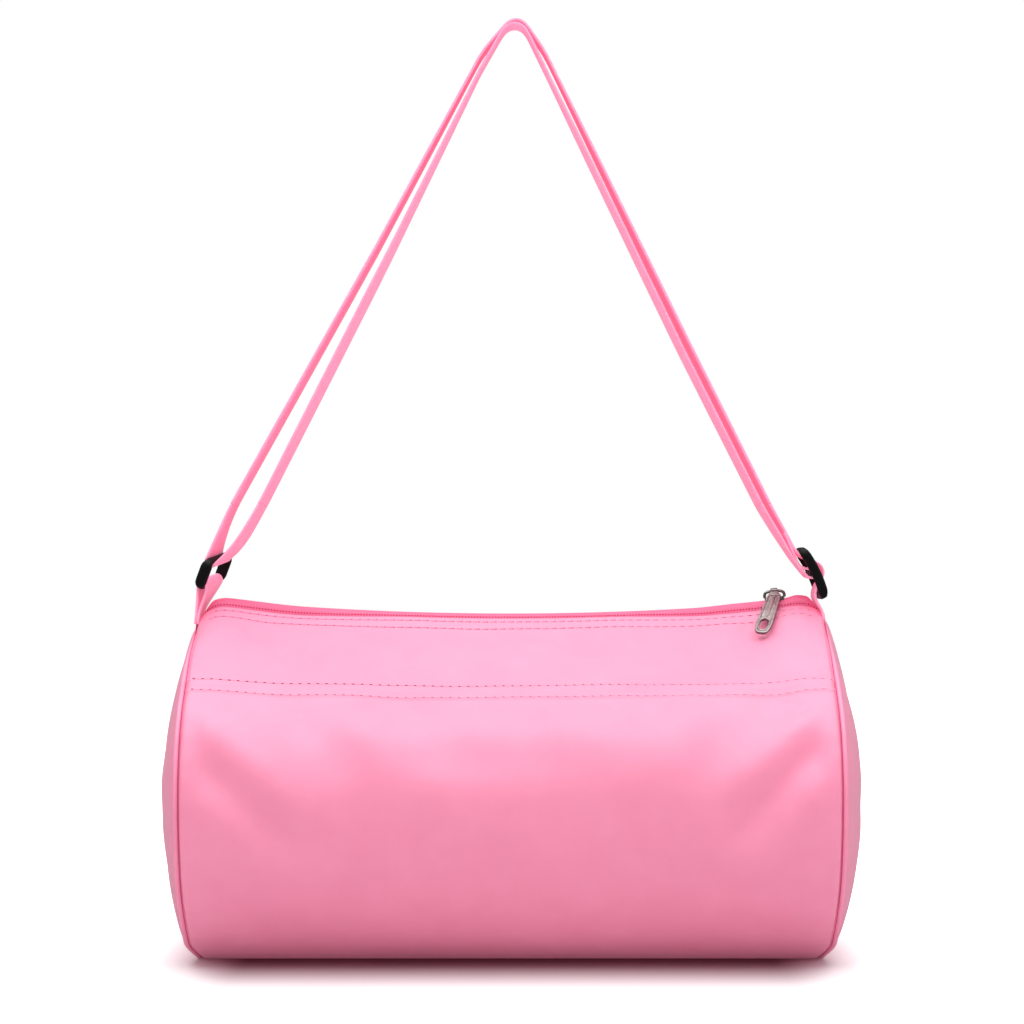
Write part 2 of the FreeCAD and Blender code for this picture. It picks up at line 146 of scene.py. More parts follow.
def new_material(name):
    material = bpy.data.materials.new(name)
    material.use_nodes = True
    return material, material.node_tree


def finish_surface(tree, **values):
    shader = tree.nodes["Principled BSDF"]
    for key, value in values.items():
        feed(tree, shader.inputs[key.replace("_", " ")], value)


# %% [markdown]
# ## Camera
#
# The photo is taken level with a long lens, a little above the zipper. The distance shows in how far
# the nearest part of each end seam bows outwards. A small lens shift lowers the horizon in the frame.

# %% Set the camera
camera_data = bpy.data.cameras.new("studio_camera")
camera_data.sensor_width = 36.0
camera_data.lens = 103.46
camera_data.shift_x = 0.0015
camera_data.shift_y = 0.0482
camera_data.clip_end = 30.0
camera = link_object("studio_camera", camera_data)
camera.location = (0.0, -1.885, 0.25)
camera.rotation_euler = (math.radians(90), 0.0, 0.0)
bpy.context.scene.camera = camera
bpy.context.scene.view_settings.view_transform = "Standard"

# %% [markdown]
# ## Floor and light
#
# A white sweep with one large softbox overhead gives the bag its shading: bright on the roof of the
# bag, and darker down the front. The floor glows white to the camera, and round the bag's footprint
# a painted shadow darkens its colour, so the bag stands on something. Three small lamps lift the
# front and both ends.

# %% Build the stage
FLOOR_HALF = 6.0
FOOTPRINT = (0.162, 0.033, 0.0)
SHADE_STRETCH = (3.6, 1.0, 1.0)
PAINTED_SHADOW_PAPER = (0.16, 0.075, 0.092, 1)
LIT_PAPER = (0.86, 0.86, 0.86, 1)
WHITE = (1, 1, 1, 1)
floor_mesh = bpy.data.meshes.new("floor")
floor_corners = [(x * FLOOR_HALF, y * FLOOR_HALF, 0) for x, y in ((-1, -1), (1, -1), (1, 1), (-1, 1))]
floor_mesh.from_pydata(floor_corners, [], [(0, 1, 2, 3)])
floor = link_object("floor", floor_mesh)

floor_paper, tree = new_material("floor_paper")
ray = add_node(tree, "ShaderNodeLightPath").outputs
past_edge = vector_maths(tree, "ABSOLUTE", add_node(tree, "ShaderNodeTexCoord").outputs["Object"])
past_edge = vector_maths(tree, "MAXIMUM", vector_maths(tree, "SUBTRACT", past_edge, FOOTPRINT))
past_edge = vector_maths(tree, "MULTIPLY", past_edge, SHADE_STRETCH)
distance = add_node(tree, "ShaderNodeVectorMath", past_edge, operation="LENGTH").outputs["Value"]
# Painted shadow: to the camera, the floor's colour darkens and its white glow fades towards the bag's
# footprint.
painted_shadow = in_range(tree, distance, 0.0, 0.155, 0.0, 1.0, interpolation_type="SMOOTHSTEP")
fade = in_range(tree, distance, 0.09, 0.40, 0.0, 1.0, interpolation_type="SMOOTHSTEP")
from_eye = add_node(tree, "ShaderNodeNewGeometry").outputs["Incoming"]
eye_height = add_node(tree, "ShaderNodeSeparateXYZ", from_eye).outputs["Z"]
# Seen from higher up, the painted shadow is paler.
shadow_paled_from_above = in_range(tree, eye_height, 0.17, 0.42, 0.0, 0.6)
paper_with_painted_shadow = mixed(tree, maths(tree, "MAXIMUM", painted_shadow, shadow_paled_from_above), PAINTED_SHADOW_PAPER, LIT_PAPER)
# In reflections the floor is dark, and to light bouncing onto the bag it glows a little.
mirrored = in_range(tree, ray["Is Glossy Ray"], 0.0, 1.0, 0.78, 0.15)
glow = maths(tree, "MULTIPLY", ray["Is Camera Ray"], fade)
finish_surface(
    tree,
    Roughness=0.9,
    Base_Color=mixed(tree, ray["Is Camera Ray"], mirrored, paper_with_painted_shadow),
    Emission_Color=WHITE,
    Emission_Strength=maths(tree, "MULTIPLY_ADD", ray["Is Diffuse Ray"], 0.18, glow),
)
floor_mesh.materials.append(floor_paper)

world = bpy.data.worlds.new("studio")
bpy.context.scene.world = world
world.use_nodes = True
sky = world.node_tree
background = sky.nodes["Background"].inputs
ray = add_node(sky, "ShaderNodeLightPath").outputs
seen = maths(sky, "MAXIMUM", ray["Is Camera Ray"], ray["Is Transmission Ray"])
ambient = in_range(sky, ray["Is Glossy Ray"], 0.0, 1.0, 0.285, 0.13)
feed(sky, background["Strength"], in_range(sky, seen, 0.0, 1.0, ambient, 1.0))
feed(sky, background["Color"], WHITE)

# Each lamp: place, target, size and power
LAMPS = {
    "top_softbox": ((0.0, -0.25, 2.3), (0, -0.1, 0.15), 3.0, 79.0),
    "front_key": ((-0.2, -1.7, 1.9), (0, 0, 0.15), 1.5, 8.0),
    "left_fill": ((-2.2, -0.9, 1.0), (-0.2, 0, 0.12), 1.2, 6.0),
    "right_fill": ((2.2, -0.9, 1.0), (0.2, 0, 0.12), 1.2, 9.0),
}
for name, (place, target, size, power) in LAMPS.items():
    lamp = bpy.data.lights.new(name, "AREA")
    lamp.size = size
    lamp.energy = power
    holder = link_object(name, lamp)
    holder.location = place
    holder.rotation_euler = (Vector(target) - Vector(place)).to_track_quat("-Z", "Y").to_euler()
print("stage: floor, world and", len(LAMPS), "lamps")

# %% [markdown]
# ## The barrel's outline
#
# The barrel's section has a flat base, round sides, and a roof that the strap draws up to the zipper,
# which sags between its ends. One function gives any point of the skin from a place along the bag and
# a place round its girth, so fabric, stitches and tapes all agree.

# %% Outline functions
HALF_LENGTH = 200.0
HALF_DEPTH = 118.0
SIDE_HEIGHT = 106.0
HALF_BASE = 33.0
HALF_SLOT = 7.0
ROOF_SLOPE = math.radians(34.98)
RIDGE_MID = 217.0
RIDGE_RISE = 8.5
RIDGE_END = 183.0
CORNER_START = 176.0
CORNER_DIP = {-1: 9.6, 1: 4.4}
SAG_RADIUS = (RIDGE_END**2 + RIDGE_RISE**2) / (2 * RIDGE_RISE)
LOW_CENTRE = (HALF_DEPTH**2 - HALF_BASE**2 - SIDE_HEIGHT**2) / (2 * (HALF_DEPTH - HALF_BASE))
LOW_RADIUS = HALF_DEPTH - LOW_CENTRE


def smooth(t):
    t = np.clip(t, 0.0, 1.0)
    return t * t * (3 - 2 * t)


def zip_end_bulge(x):
    """Height by which the slack tape stands up behind the closed slider."""
    return 1.4 * smooth((x - 175) / 9)


def band_height(x):
    """Height of the closed zipper's top: a sagging arc, raised a little at both ends."""
    reach = np.minimum(np.abs(x), RIDGE_END)
    arc = RIDGE_MID + SAG_RADIUS - np.sqrt(SAG_RADIUS**2 - reach**2)
    left_lift = 1.7 * smooth((-x - 130) / 55)
    right_lift = 1.2 * smooth((x - 115) / 35) + 0.9 * smooth((x - 145) / 40) + zip_end_bulge(x)
    return arc - 0.4 + left_lift + right_lift


def band_rise(x):
    """Height of the zipper's top over the fold of the cloth beside it."""
    return 3.0 + 2.8 * smooth((np.abs(x) - 60) / 90) + zip_end_bulge(x)


def ridge_height(x):
    """Height of the mouth's cloth edge before its corners are rounded."""
    return band_height(x) - band_rise(x)


def corner_dip(x, below=0.0):
    """Drop of the top corners into the end seams, at a girth distance below the mouth's edge."""
    corner = np.clip((np.abs(x) - CORNER_START) / (HALF_LENGTH - CORNER_START), 0, 1)
    depth = np.where(x < 0, CORNER_DIP[-1], CORNER_DIP[1])
    return depth * corner**3.2 * smooth(1 - below / 60)


def girth_point(x, share):
    """Point of the half outline: share 0 is the base's middle, 1 the mouth's edge (y is positive)."""
    sin_slope, cos_slope = math.sin(ROOF_SLOPE), math.cos(ROOF_SLOPE)
    ridge = ridge_height(x)
    shoulder = cos_slope * (ridge - SIDE_HEIGHT) - sin_slope * (HALF_DEPTH - HALF_SLOT)
    shoulder = shoulder / (1 - sin_slope)
    centre = HALF_DEPTH - shoulder
    low_sweep = math.asin(SIDE_HEIGHT / LOW_RADIUS)
    eave_y = centre + shoulder * sin_slope
    eave_z = SIDE_HEIGHT + shoulder * cos_slope
    low_length = LOW_RADIUS * low_sweep
    high_length = shoulder * (math.pi / 2 - ROOF_SLOPE)
    roof = np.hypot(eave_y - HALF_SLOT, ridge - eave_z)
    along = share * (HALF_BASE + low_length + high_length + roof)
    y = np.minimum(along, HALF_BASE)
    z = np.zeros_like(along)
    low = np.clip(along - HALF_BASE, 0, None)
    angle = -low_sweep + np.minimum(low, low_length) / LOW_RADIUS
    y = np.where(low > 0, LOW_CENTRE + LOW_RADIUS * np.cos(angle), y)
    z = np.where(low > 0, SIDE_HEIGHT + LOW_RADIUS * np.sin(angle), z)
    high = np.clip(low - low_length, 0, None)
    angle = np.minimum(high, high_length) / shoulder
    y = np.where(high > 0, centre + shoulder * np.cos(angle), y)
    z = np.where(high > 0, SIDE_HEIGHT + shoulder * np.sin(angle), z)
    top = np.clip(high - high_length, 0, None) / roof
    y = np.where(top > 0, eave_y + (HALF_SLOT - eave_y) * top, y)
    z = np.where(top > 0, eave_z + (ridge - eave_z) * top, z)
    return y, z


GIRTH = float(np.hypot(*np.diff(girth_point(np.zeros(400), np.linspace(0, 1, 400)))).sum())
print(f"half girth {GIRTH:.0f} mm at mid-length")

# %% [markdown]
# ## Nylon
#
# The cloth is a coated plain-weave nylon. Each cloth piece carries a UV map in millimetres, one axis
# along the bag and one round its girth, so that the threads follow the surface. Two sine waves
# multiplied give the weave, and slow noise shifts the tone a little, as dyed cloth does.

# %% Cloth materials


def cloth_axes(tree):
    """The two axes of the cloth UV, in millimetres."""
    uv = add_node(tree, "ShaderNodeUVMap", uv_map="cloth").outputs["UV"]
    return add_node(tree, "ShaderNodeSeparateXYZ", uv).outputs


def wave(tree, source, half_turn):
    return maths(tree, "SINE", maths(tree, "MULTIPLY", source, math.pi / half_turn))


def cloth_material(name, dark, light, pitch, weave_depth, sheen, roughness, gloss=0.0):
    material, tree = new_material(name)
    axes = cloth_axes(tree)
    grain = maths(tree, "MULTIPLY", wave(tree, axes["X"], pitch), wave(tree, axes["Y"], pitch))
    tone = maths(tree, "MULTIPLY_ADD", grain, 0.10, noise(tree, 38.0, 5.0, 0.62))
    soft_bump = bump(tree, noise(tree, 120.0, 4.0, 0.55), 0.10, 0.0012)
    finish_surface(
        tree,
        Base_Color=ramp(tree, tone, dark, light, 0.25, 0.75),
        Normal=bump(tree, grain, 0.55, weave_depth * MM, Normal=soft_bump),
        Roughness=roughness,
        Specular_IOR_Level=1.0,
        Coat_Weight=gloss,
        Coat_Roughness=0.72,
        Coat_IOR=2.05,
        Sheen_Weight=sheen,
        Sheen_Roughness=0.45,
        Sheen_Tint=(1.0, 0.92, 0.96, 1),
    )
    return material


def plain_material(name, colour, roughness, specular=0.4):
    material, tree = new_material(name)
    finish_surface(
        tree,
        Base_Color=(*colour, 1),
        Normal=bump(tree, noise(tree, 900.0, 3.0), 0.25, 0.0001),
        Roughness=roughness,
        Specular_IOR_Level=specular,
    )
    return material


# Each cloth: dark and light tone, thread pitch, weave depth, sheen, roughness and coat
NYLON = ((0.94, 0.185, 0.367), (0.97, 0.22, 0.412), 0.55, 0.06, 0.1, 0.7, 1.0)
ZIPPER_TAPE = ((0.80, 0.08, 0.225), (0.86, 0.11, 0.275), 0.7, 0.10, 0.1, 0.6)
BINDING_TAPE = ((0.80, 0.20, 0.38), (0.86, 0.25, 0.43), 0.8, 0.12, 0.15, 0.7)
nylon = cloth_material("pink_nylon", *NYLON)
tape_cloth = cloth_material("zipper_tape_weave", *ZIPPER_TAPE)
binding_cloth = cloth_material("binding_tape_weave", *BINDING_TAPE)
# Dark cord colour for the end seams: painted shade for the dark line in each seam's groove.
painted_seam_shade = plain_material("painted_seam_shade", (0.55, 0.09, 0.21), 0.8, 0.1)

# %% [markdown]
# ## Folds
#
# The strap lifts the two top corners, so the front hangs in shallow folds from those corners towards
# the middle. Each fold is a line on the cloth with a height: positive lines stand out, negative ones
# sink. A simulation would place them by chance, and these have to match the photo.

# %% Fold field
FOLD_GAIN = 2.3
# Each fold: start (x, z), end (x, z), half width and height, in millimetres
FRONT_FOLDS = [
    ((-184, 145), (-128, 99), 11, 1.7),
    ((-184, 121), (-132, 75), 11, -1.7),
    ((-178, 98), (-118, 52), 14, 1.3),
    ((-128, 152), (-98, 122), 13, -1.1),
    ((-60, 129), (70, 131), 11, -0.7),
    ((166, 161), (114, 120), 13, -1.1),
    ((180, 148), (136, 113), 9, 1.4),
    ((186, 132), (138, 86), 10, -1.7),
    ((186, 112), (138, 58), 13, 1.5),
    ((-94, 146), (-22, 95), 15, 0.9),
    ((-74, 164), (-4, 112), 15, -0.8),
    ((114, 158), (84, 124), 14, 0.9),
    ((40, 150), (90, 112), 16, 0.6),
    ((20, 96), (86, 92), 30, -1.3),
    ((-60, 80), (-10, 84), 30, -0.7),
    ((-186, 204), (-160, 173), 9, 0.3),
    ((-160, 210), (-130, 184), 10, -0.6),
    ((182, 211), (160, 181), 10, 0.8),
    ((158, 205), (126, 186), 11, -0.6),
    ((26, 203), (4, 178), 9, -0.5),
    ((-90, 206), (90, 206), 11, -0.75),
]
ROOF_START = 238.0
PULL_SHUT = 160.0
PULL_OPEN = -181.0


def front_height_to_girth(z):
    share = np.linspace(0.12, 1, 600)
    _, heights = girth_point(np.zeros_like(share), share)
    return float(np.interp(z, heights, share * GIRTH))


def fold_field(x, girth, mirror):
    """Height of the folds at points of the cloth, in millimetres."""
    total = np.zeros_like(x)
    for start, end, width, height in FRONT_FOLDS:
        ax, ag = mirror * start[0], front_height_to_girth(start[1])
        bx, bg = mirror * end[0], front_height_to_girth(end[1])
        run = np.hypot(bx - ax, bg - ag)
        ux, ug = (bx - ax) / run, (bg - ag) / run
        along = ((x - ax) * ux + (girth - ag) * ug) / run
        across = -(x - ax) * ug + (girth - ag) * ux
        spread = width * (1 + 0.5 * np.clip(along, 0, 1))
        ends = smooth((along + 0.28) / 0.42) * smooth((1.35 - along) / 0.6)
        total += FOLD_GAIN * height * np.exp(-((across / spread) ** 2)) * ends
    slow = 0.35 * np.sin(x / 31 + girth / 47) + 0.3 * np.sin(x / 19 - girth / 38 + 1.3)
    slow += 0.16 * np.sin(x / 9.5 + girth / 13 + 0.4)
    return total + slow


def foot_tuck(z):
    """Share of the full length at a height: the ends round inwards just over the floor."""
    return 1 - 0.007 * (1 - smooth(z / 60)) - 0.022 * (1 - smooth(z / 14))


def from_pull(x):
    """Distance along the bag from the pull's two resting places."""
    return np.minimum(np.abs(x - PULL_SHUT), np.abs(x - PULL_OPEN))


def pull_dent(x, girth):
    """Soft hollows in the roof where the zipper pull lies."""
    return np.exp(-((from_pull(x) / 20) ** 2) - ((GIRTH - girth - 22) / 17) ** 2)


def skin_point(x, girth, side, lift=0.0):
    """Points of the folded skin: side -1 is the front, lift is the height over the cloth (mm)."""
    step = 0.4
    y, z = girth_point(x, girth / GIRTH)
    y2, z2 = girth_point(x, np.clip(girth + step, 0, GIRTH) / GIRTH)
    y1, z1 = girth_point(x, np.clip(girth - step, 0, GIRTH) / GIRTH)
    run = np.hypot(y2 - y1, z2 - z1)
    out_y, out_z = (z2 - z1) / run, -(y2 - y1) / run
    folds = fold_field(x, girth, 1 if side < 0 else -1)
    clear_of_base = smooth((girth - 42) / 45)
    clear_of_mouth = 0.25 + 0.75 * smooth((GIRTH - girth) / 14)
    seam = HALF_LENGTH - np.abs(x)
    clear_of_seam = smooth(seam / 16)
    pucker = 0.22 * np.sin(girth / 2.1 + 0.6 * np.sin(girth / 9)) * np.exp(-seam / 6.5) * smooth(seam / 3)
    puff = 0.6 * smooth(seam / 6) * np.exp(-seam / 18)
    roll = -2.2 * (1 - smooth(seam / 2.0))
    near_pull = np.exp(-((from_pull(x * -side) / 26) ** 2))
    on_roof = np.clip((girth - ROOF_START) / (GIRTH - ROOF_START), 0, 1)
    crown = 1.8 * np.sin(on_roof * math.pi) * clear_of_seam * (1 - near_pull)
    crown = crown - 1.1 * pull_dent(x * -side, girth) * clear_of_seam
    height = clear_of_base * (folds * clear_of_mouth * clear_of_seam + pucker + puff + crown) + roll + lift
    y = y + out_y * height
    z = np.maximum(z + out_z * height - corner_dip(x, GIRTH - girth), 0.0)
    return xyz(x * foot_tuck(z), side * y, z)


# %% [markdown]
# ## Meshes and bodies
#
# Almost every piece is a grid of points: rings along a bar, loops round a seam, or rows and columns
# of cloth. One function lists the faces of any such grid. Each piece is then hung on the body that
# carries it, and the CAD parts that it stands for are hidden.

# %% Mesh helpers


def grid_faces(rows, columns, close_rows=False, close_columns=True, start=0):
    """Quads over a grid of points, numbered row by row."""
    faces = []
    for r in range(rows if close_rows else rows - 1):
        a = start + r * columns
        b = start + (r + 1) % rows * columns
        for c in range(columns if close_columns else columns - 1):
            d = (c + 1) % columns
            faces.append((a + c, a + d, b + d, b + c))
    return faces


def bar_faces(rows, columns):
    """Faces of a bar built from rings, closed at both ends."""
    last = (rows - 1) * columns
    ends = [tuple(reversed(range(columns))), tuple(range(last, last + columns))]
    return grid_faces(rows, columns) + ends


def mesh_object(name, points, faces, uvs=None, material=None):
    """Mesh from points in millimetres, with a cloth UV per point."""
    mesh = bpy.data.meshes.new(name)
    mesh.from_pydata((np.asarray(points, float) * MM).tolist(), [], faces)
    if uvs is not None:
        layer = mesh.uv_layers.new(name="cloth")
        corners = np.empty(len(mesh.loops), np.int32)
        mesh.loops.foreach_get("vertex_index", corners)
        layer.data.foreach_set("uv", np.asarray(uvs, np.float32)[corners].ravel())
    mesh.polygons.foreach_set("use_smooth", [True] * len(mesh.polygons))
    if material is not None:
        mesh.materials.append(material)
    mesh.update()
    obj = link_object(name, mesh)
    face_outwards(obj)
    return obj


def face_outwards(obj, weld=False):
    shape = bmesh.new()
    shape.from_mesh(obj.data)
    if weld:
        bmesh.ops.remove_doubles(shape, verts=shape.verts, dist=1e-6)
    bmesh.ops.recalc_face_normals(shape, faces=shape.faces)
    shape.to_mesh(obj.data)
    shape.free()
    obj.data.update()


def double_layer(name, outer, inner, uv, material):
    """Closed shell from an outer and an inner grid of points, both rows by columns."""
    rows, columns = outer.shape[:2]
    edge = (outer[-1] + inner[-1]) / 2 + (outer[-1] - outer[-2]) * 0.16
    stack = np.concatenate([outer, edge[None], inner[::-1]], axis=0)
    uvs = np.concatenate([uv, uv[-1:], uv[::-1]], axis=0)
    count = len(stack)
    index = np.arange(count * columns).reshape(count, columns)
    faces = grid_faces(count, columns, close_rows=True, close_columns=False)
    for c in (0, columns - 1):
        for r in range(rows - 1):
            other = count - 1 - r
            faces.append((index[r, c], index[r + 1, c], index[other - 1, c], index[other, c]))
        faces.append(tuple(index[rows - 1: rows + 2, c]))
    return mesh_object(name, stack.reshape(-1, 3), faces, uvs.reshape(-1, 2), material)


def name_piece(piece, slot, *nodes):
    """Hide the CAD nodes that a piece stands for. The piece and its slot are not used."""
    if nodes:
        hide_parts(*nodes)


def settle(piece, body, slot, *nodes):
    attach(piece, body)
    name_piece(piece, slot, *nodes)


def bend(piece, share):
    """Bake a piece's transform and work out a share from its points in millimetres; the share is not used."""
    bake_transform(piece)
    points = np.empty(len(piece.data.vertices) * 3, np.float32)
    piece.data.vertices.foreach_get("co", points)
    values = share(points.reshape(-1, 3) / MM).astype(np.float32)


# %% [markdown]
# ## The mouth's share of the lift
#
# When the zipper opens, each half of the roof lifts about its crease. Both ends stay sewn, so the
# share of the lift is a lens: full at the middle of the mouth's edge, and nothing at the crease and
# at both ends. The open slider stands near the left end, so the lens ends sooner there.

# %% Share of the mouth's lift
CREASE_Y = 70.0
MOUTH_LEFT = 153.0
MOUTH_RIGHT = 172.0


def rising(start, run):
    """Share that grows with height over a run of millimetres. A negative run makes it fall."""
    return lambda heights: smooth((heights - start) / run)


def mouth_share(points):
    x, y, z = points.T
    along = np.clip(1 - (x / np.where(x < 0, MOUTH_LEFT, MOUTH_RIGHT)) ** 2, 0, 1)
    across = smooth((CREASE_Y - np.abs(y)) / (CREASE_Y - HALF_SLOT))
    return along**0.8 * across * rising(150, 20)(z)


def bend_with_mouth(piece, body, slot, *nodes):
    bend(piece, mouth_share)
    name_piece(piece, slot, *nodes)


# %% [markdown]
# ## Barrel cloth
#
# The barrel is one tube of cloth. It is made here as a front half and a rear half that meet under
# the base, one for each side of the mouth. Every half is a closed shell: an outer face, a rounded
# fold along the mouth, and the inner face that shows when the bag is open.

# %% Front and rear cloth
CLOTH = 1.1
COLUMNS = 181
ROWS = 150
CROWDING = math.pi / 2 * 0.86
columns = HALF_LENGTH * np.sin(np.linspace(-1, 1, COLUMNS) * CROWDING) / math.sin(CROWDING)
grid_x, grid_g = np.meshgrid(columns, GIRTH * np.linspace(0, 1, ROWS))
barrel_uv = np.dstack([grid_x, grid_g])
for body, side, nodes in (
    ("front_mouth", -1, ["front_mouth_panel", "body_panel"]),
    ("rear_mouth", 1, ["rear_mouth_panel"]),
):
    outer = skin_point(grid_x, grid_g, side)
    inner = skin_point(grid_x, grid_g, side, -CLOTH)
    inner[..., 2] = np.maximum(inner[..., 2], CLOTH)
    half = double_layer(f"{body}_cloth", outer, inner, barrel_uv, nylon)
    bend_with_mouth(half, body, "nylon", *nodes)
    print(half.name, len(half.data.polygons), "faces")

# %% [markdown]
# ## Front pocket
#
# A second layer lies on the front from the hem down to the base seam. Its top edge is turned in and
# held by two rows of stitches. The layer follows the folds of the cloth under it, and thins away at
# its foot, where it is sewn into the base.

# %% Pocket layer
HEM_GIRTH = front_height_to_girth(171.2)
POCKET_FOOT = front_height_to_girth(22.0)
HEM_DROP = 2.6
POCKET_HALF = 199.2
pocket_rows = np.concatenate([
    np.linspace(POCKET_FOOT, HEM_GIRTH - 15, 68),
    np.linspace(HEM_GIRTH - 14.3, HEM_GIRTH, 24),
])
pocket_x, pocket_g = np.meshgrid(columns * (POCKET_HALF / HALF_LENGTH), pocket_rows)


def hem_drop(x, girth):
    """Distance by which the hem is drawn down towards the bag's ends."""
    up = np.clip((girth - POCKET_FOOT) / (HEM_GIRTH - POCKET_FOOT), 0, 1)
    return HEM_DROP * (x / HALF_LENGTH) ** 2 * up


def pocket_lift(x, girth):
    """Height of the pocket's face over the barrel cloth."""
    hem_band = smooth((girth - (HEM_GIRTH - 13.9)) / 1.0)
    stand_off = -0.5 + 1.7 * smooth((girth - POCKET_FOOT) / 40) + 0.45 * hem_band
    between_rows = np.exp(-(((girth - (HEM_GIRTH - 6.8)) / 3.0) ** 2)) * 0.4
    seam_fade = smooth((HALF_LENGTH - np.abs(x)) / 4)
    return 0.3 + (stand_off + between_rows) * (0.35 + 0.65 * seam_fade)


lift = pocket_lift(pocket_x, pocket_g)
drawn_g = pocket_g - hem_drop(pocket_x, pocket_g)
outer = skin_point(pocket_x, drawn_g, -1, lift)
inner = skin_point(pocket_x, drawn_g, -1, np.minimum(lift - 0.3, 0.22))
pocket = double_layer("front_pocket_cloth", outer, inner, np.dstack([pocket_x, pocket_g]), nylon)
settle(pocket, "bag", "nylon", "front_pocket_panel")

# %% [markdown]
# ## End panels
#
# Each end is a cap cut to the barrel's outline and sewn in with the raw edges inside, so the cap's
# edge rolls over just outside the seam and catches the light. The rings of the cap run from that
# roll to the middle, and its bulge is pulled into soft folds by the seam.

# %% End caps
SIDES = {-1: "left", 1: "right"}
END_BULGE = {-1: 19.0, 1: 21.0}
ROLL = 1.7
OUTLINE_POINTS = 104


def seam_outline(side):
    """One end seam from the base's middle, up the front and down the rear, with its outward directions."""
    share = np.linspace(0, 1, OUTLINE_POINTS)
    end = np.full(OUTLINE_POINTS, side * HALF_LENGTH)
    y, z = girth_point(end, share)
    z = z - corner_dip(end, (1 - share) * GIRTH)
    across = np.linspace(-1, 1, 9)[1:-1] * HALF_SLOT
    ys = np.concatenate([-y, across, y[::-1][:-1]])
    zs = np.concatenate([z, np.full(len(across), z[-1]), z[::-1][:-1]])
    dy = np.roll(ys, -1) - np.roll(ys, 1)
    dz = np.roll(zs, -1) - np.roll(zs, 1)
    run = np.hypot(dy, dz)
    facing = np.sign(np.sum(-dz / run * ys + dy / run * (zs - SIDE_HEIGHT)))
    return ys, zs, -dz / run * facing, dy / run * facing


SEAMS = {side: seam_outline(side) for side in SIDES}
AROUND = len(SEAMS[1][0])


def seam_loop(side, inset, lowest):
    """Depths and heights of a loop drawn in from the end seam."""
    end_y, end_z, out_y, out_z = SEAMS[side]
    return end_y - out_y * inset, np.maximum(end_z - out_z * inset, lowest)


def end_cap(side):
    rings = []
    for angle in np.radians([-20, 5, 30, 55, 80, 105, 130, 150]):
        y, z = seam_loop(side, ROLL * (1 - math.sin(angle)), 0.0)
        rolled = ROLL * (1 - math.cos(angle)) * (1 - 0.85 * smooth((z - 178) / 34))
        rings.append(xyz((HALF_LENGTH + rolled) * foot_tuck(z), y, z))
    base = rings[-1]
    centre = np.array([HALF_LENGTH, 0.0, SIDE_HEIGHT - 4])
    turn = np.arctan2(base[:, 2] - centre[2], base[:, 1])
    for share in np.linspace(1, 0, 34)[1:-1]:
        ring = centre + (base - centre) * share
        bulge = (base[:, 0] - HALF_LENGTH) * share + END_BULGE[side] * (1 - share**2.1)
        bulge = bulge - 1.5 * np.exp(-((1 - share) * 100 / 4.0) ** 2)
        folds = 0.4 * np.sin(5 * turn + 1.2 * side) + 0.22 * np.sin(11 * turn + 0.7)
        folds = folds * math.sin(math.pi * share**1.6) + 0.25 * np.sin(52 * turn) * share**14
        ring[:, 0] = HALF_LENGTH + bulge + folds
        rings.append(ring)
    outer = np.array(rings)
    tip = centre + np.array([END_BULGE[side], 0, 0])
    inner = outer.copy()
    inner[..., 0] -= CLOTH
    inner[..., 1] *= 0.992
    inner[..., 2] = np.maximum(centre[2] + (inner[..., 2] - centre[2]) * 0.992, 0.9)
    inner_tip = tip - np.array([CLOTH, 0, 0])
    points = np.concatenate([outer.reshape(-1, 3), [tip], inner.reshape(-1, 3), [inner_tip]])
    points[:, 0] *= side
    count = len(outer)
    offset = count * AROUND + 1
    ahead = [(c, (c + 1) % AROUND) for c in range(AROUND)]
    faces = []
    for layer in (0, offset):
        faces += grid_faces(count, AROUND, start=layer)
        last = layer + (count - 1) * AROUND
        faces += [(last + c, last + d, layer + count * AROUND) for c, d in ahead]
    faces += [(c, d, offset + d, offset + c) for c, d in ahead]
    cap = mesh_object(f"{SIDES[side]}_end_cloth", points, faces, points[:, 1:], nylon)
    settle(cap, "bag", "nylon", f"{SIDES[side]}_end_panel")
    return cap


for side in SIDES:
    cap = end_cap(side)
    print(cap.name, len(cap.data.polygons), "faces")

# %% [markdown]
# ## Seam bindings and seam lines
#
# Inside the bag the raw edges of each end seam are wrapped in a folded tape, which shows only when
# the mouth is open. Outside, the seam shows as one thin dark line, the shade at the bottom of the
# groove. That shade is painted: a fine dark cord follows each end seam there.

# %% Bindings and painted seam shade
SHADE_CORD_RADIUS = 0.36
SEAM_INSET = 1.0
# Each point of the tape's section: distance back from the end, inset from the outline
BINDING_SECTION = [(0.4, 1.9), (2.2, 1.5), (5.5, 1.6), (8.4, 1.9), (9.0, 2.5), (8.4, 3.1), (5.5, 3.5),
                   (2.2, 3.4), (0.4, 3.0)]


def seam_band(name, loops, uvs, material):
    faces = grid_faces(len(loops), AROUND, close_rows=True)
    return mesh_object(name, np.array(loops).reshape(-1, 3), faces, uvs, material)


for side, name in SIDES.items():
    loops = []
    for back, inset in BINDING_SECTION:
        y, z = seam_loop(side, inset, 1.25 + inset * 0.3)
        loops.append(xyz(side * (HALF_LENGTH - back) * 0.99, y, z))
    end_y, end_z = SEAMS[side][:2]
    around = np.concatenate([[0], np.cumsum(np.hypot(np.diff(end_y), np.diff(end_z)))])
    backs = np.repeat([back for back, inset in BINDING_SECTION], AROUND)
    uvs = np.stack([np.tile(around, len(loops)), backs], axis=-1)
    binding = seam_band(f"{name}_binding_tape", loops, uvs, binding_cloth)
    settle(binding, "bag", "binding", f"{name}_seam_binding")
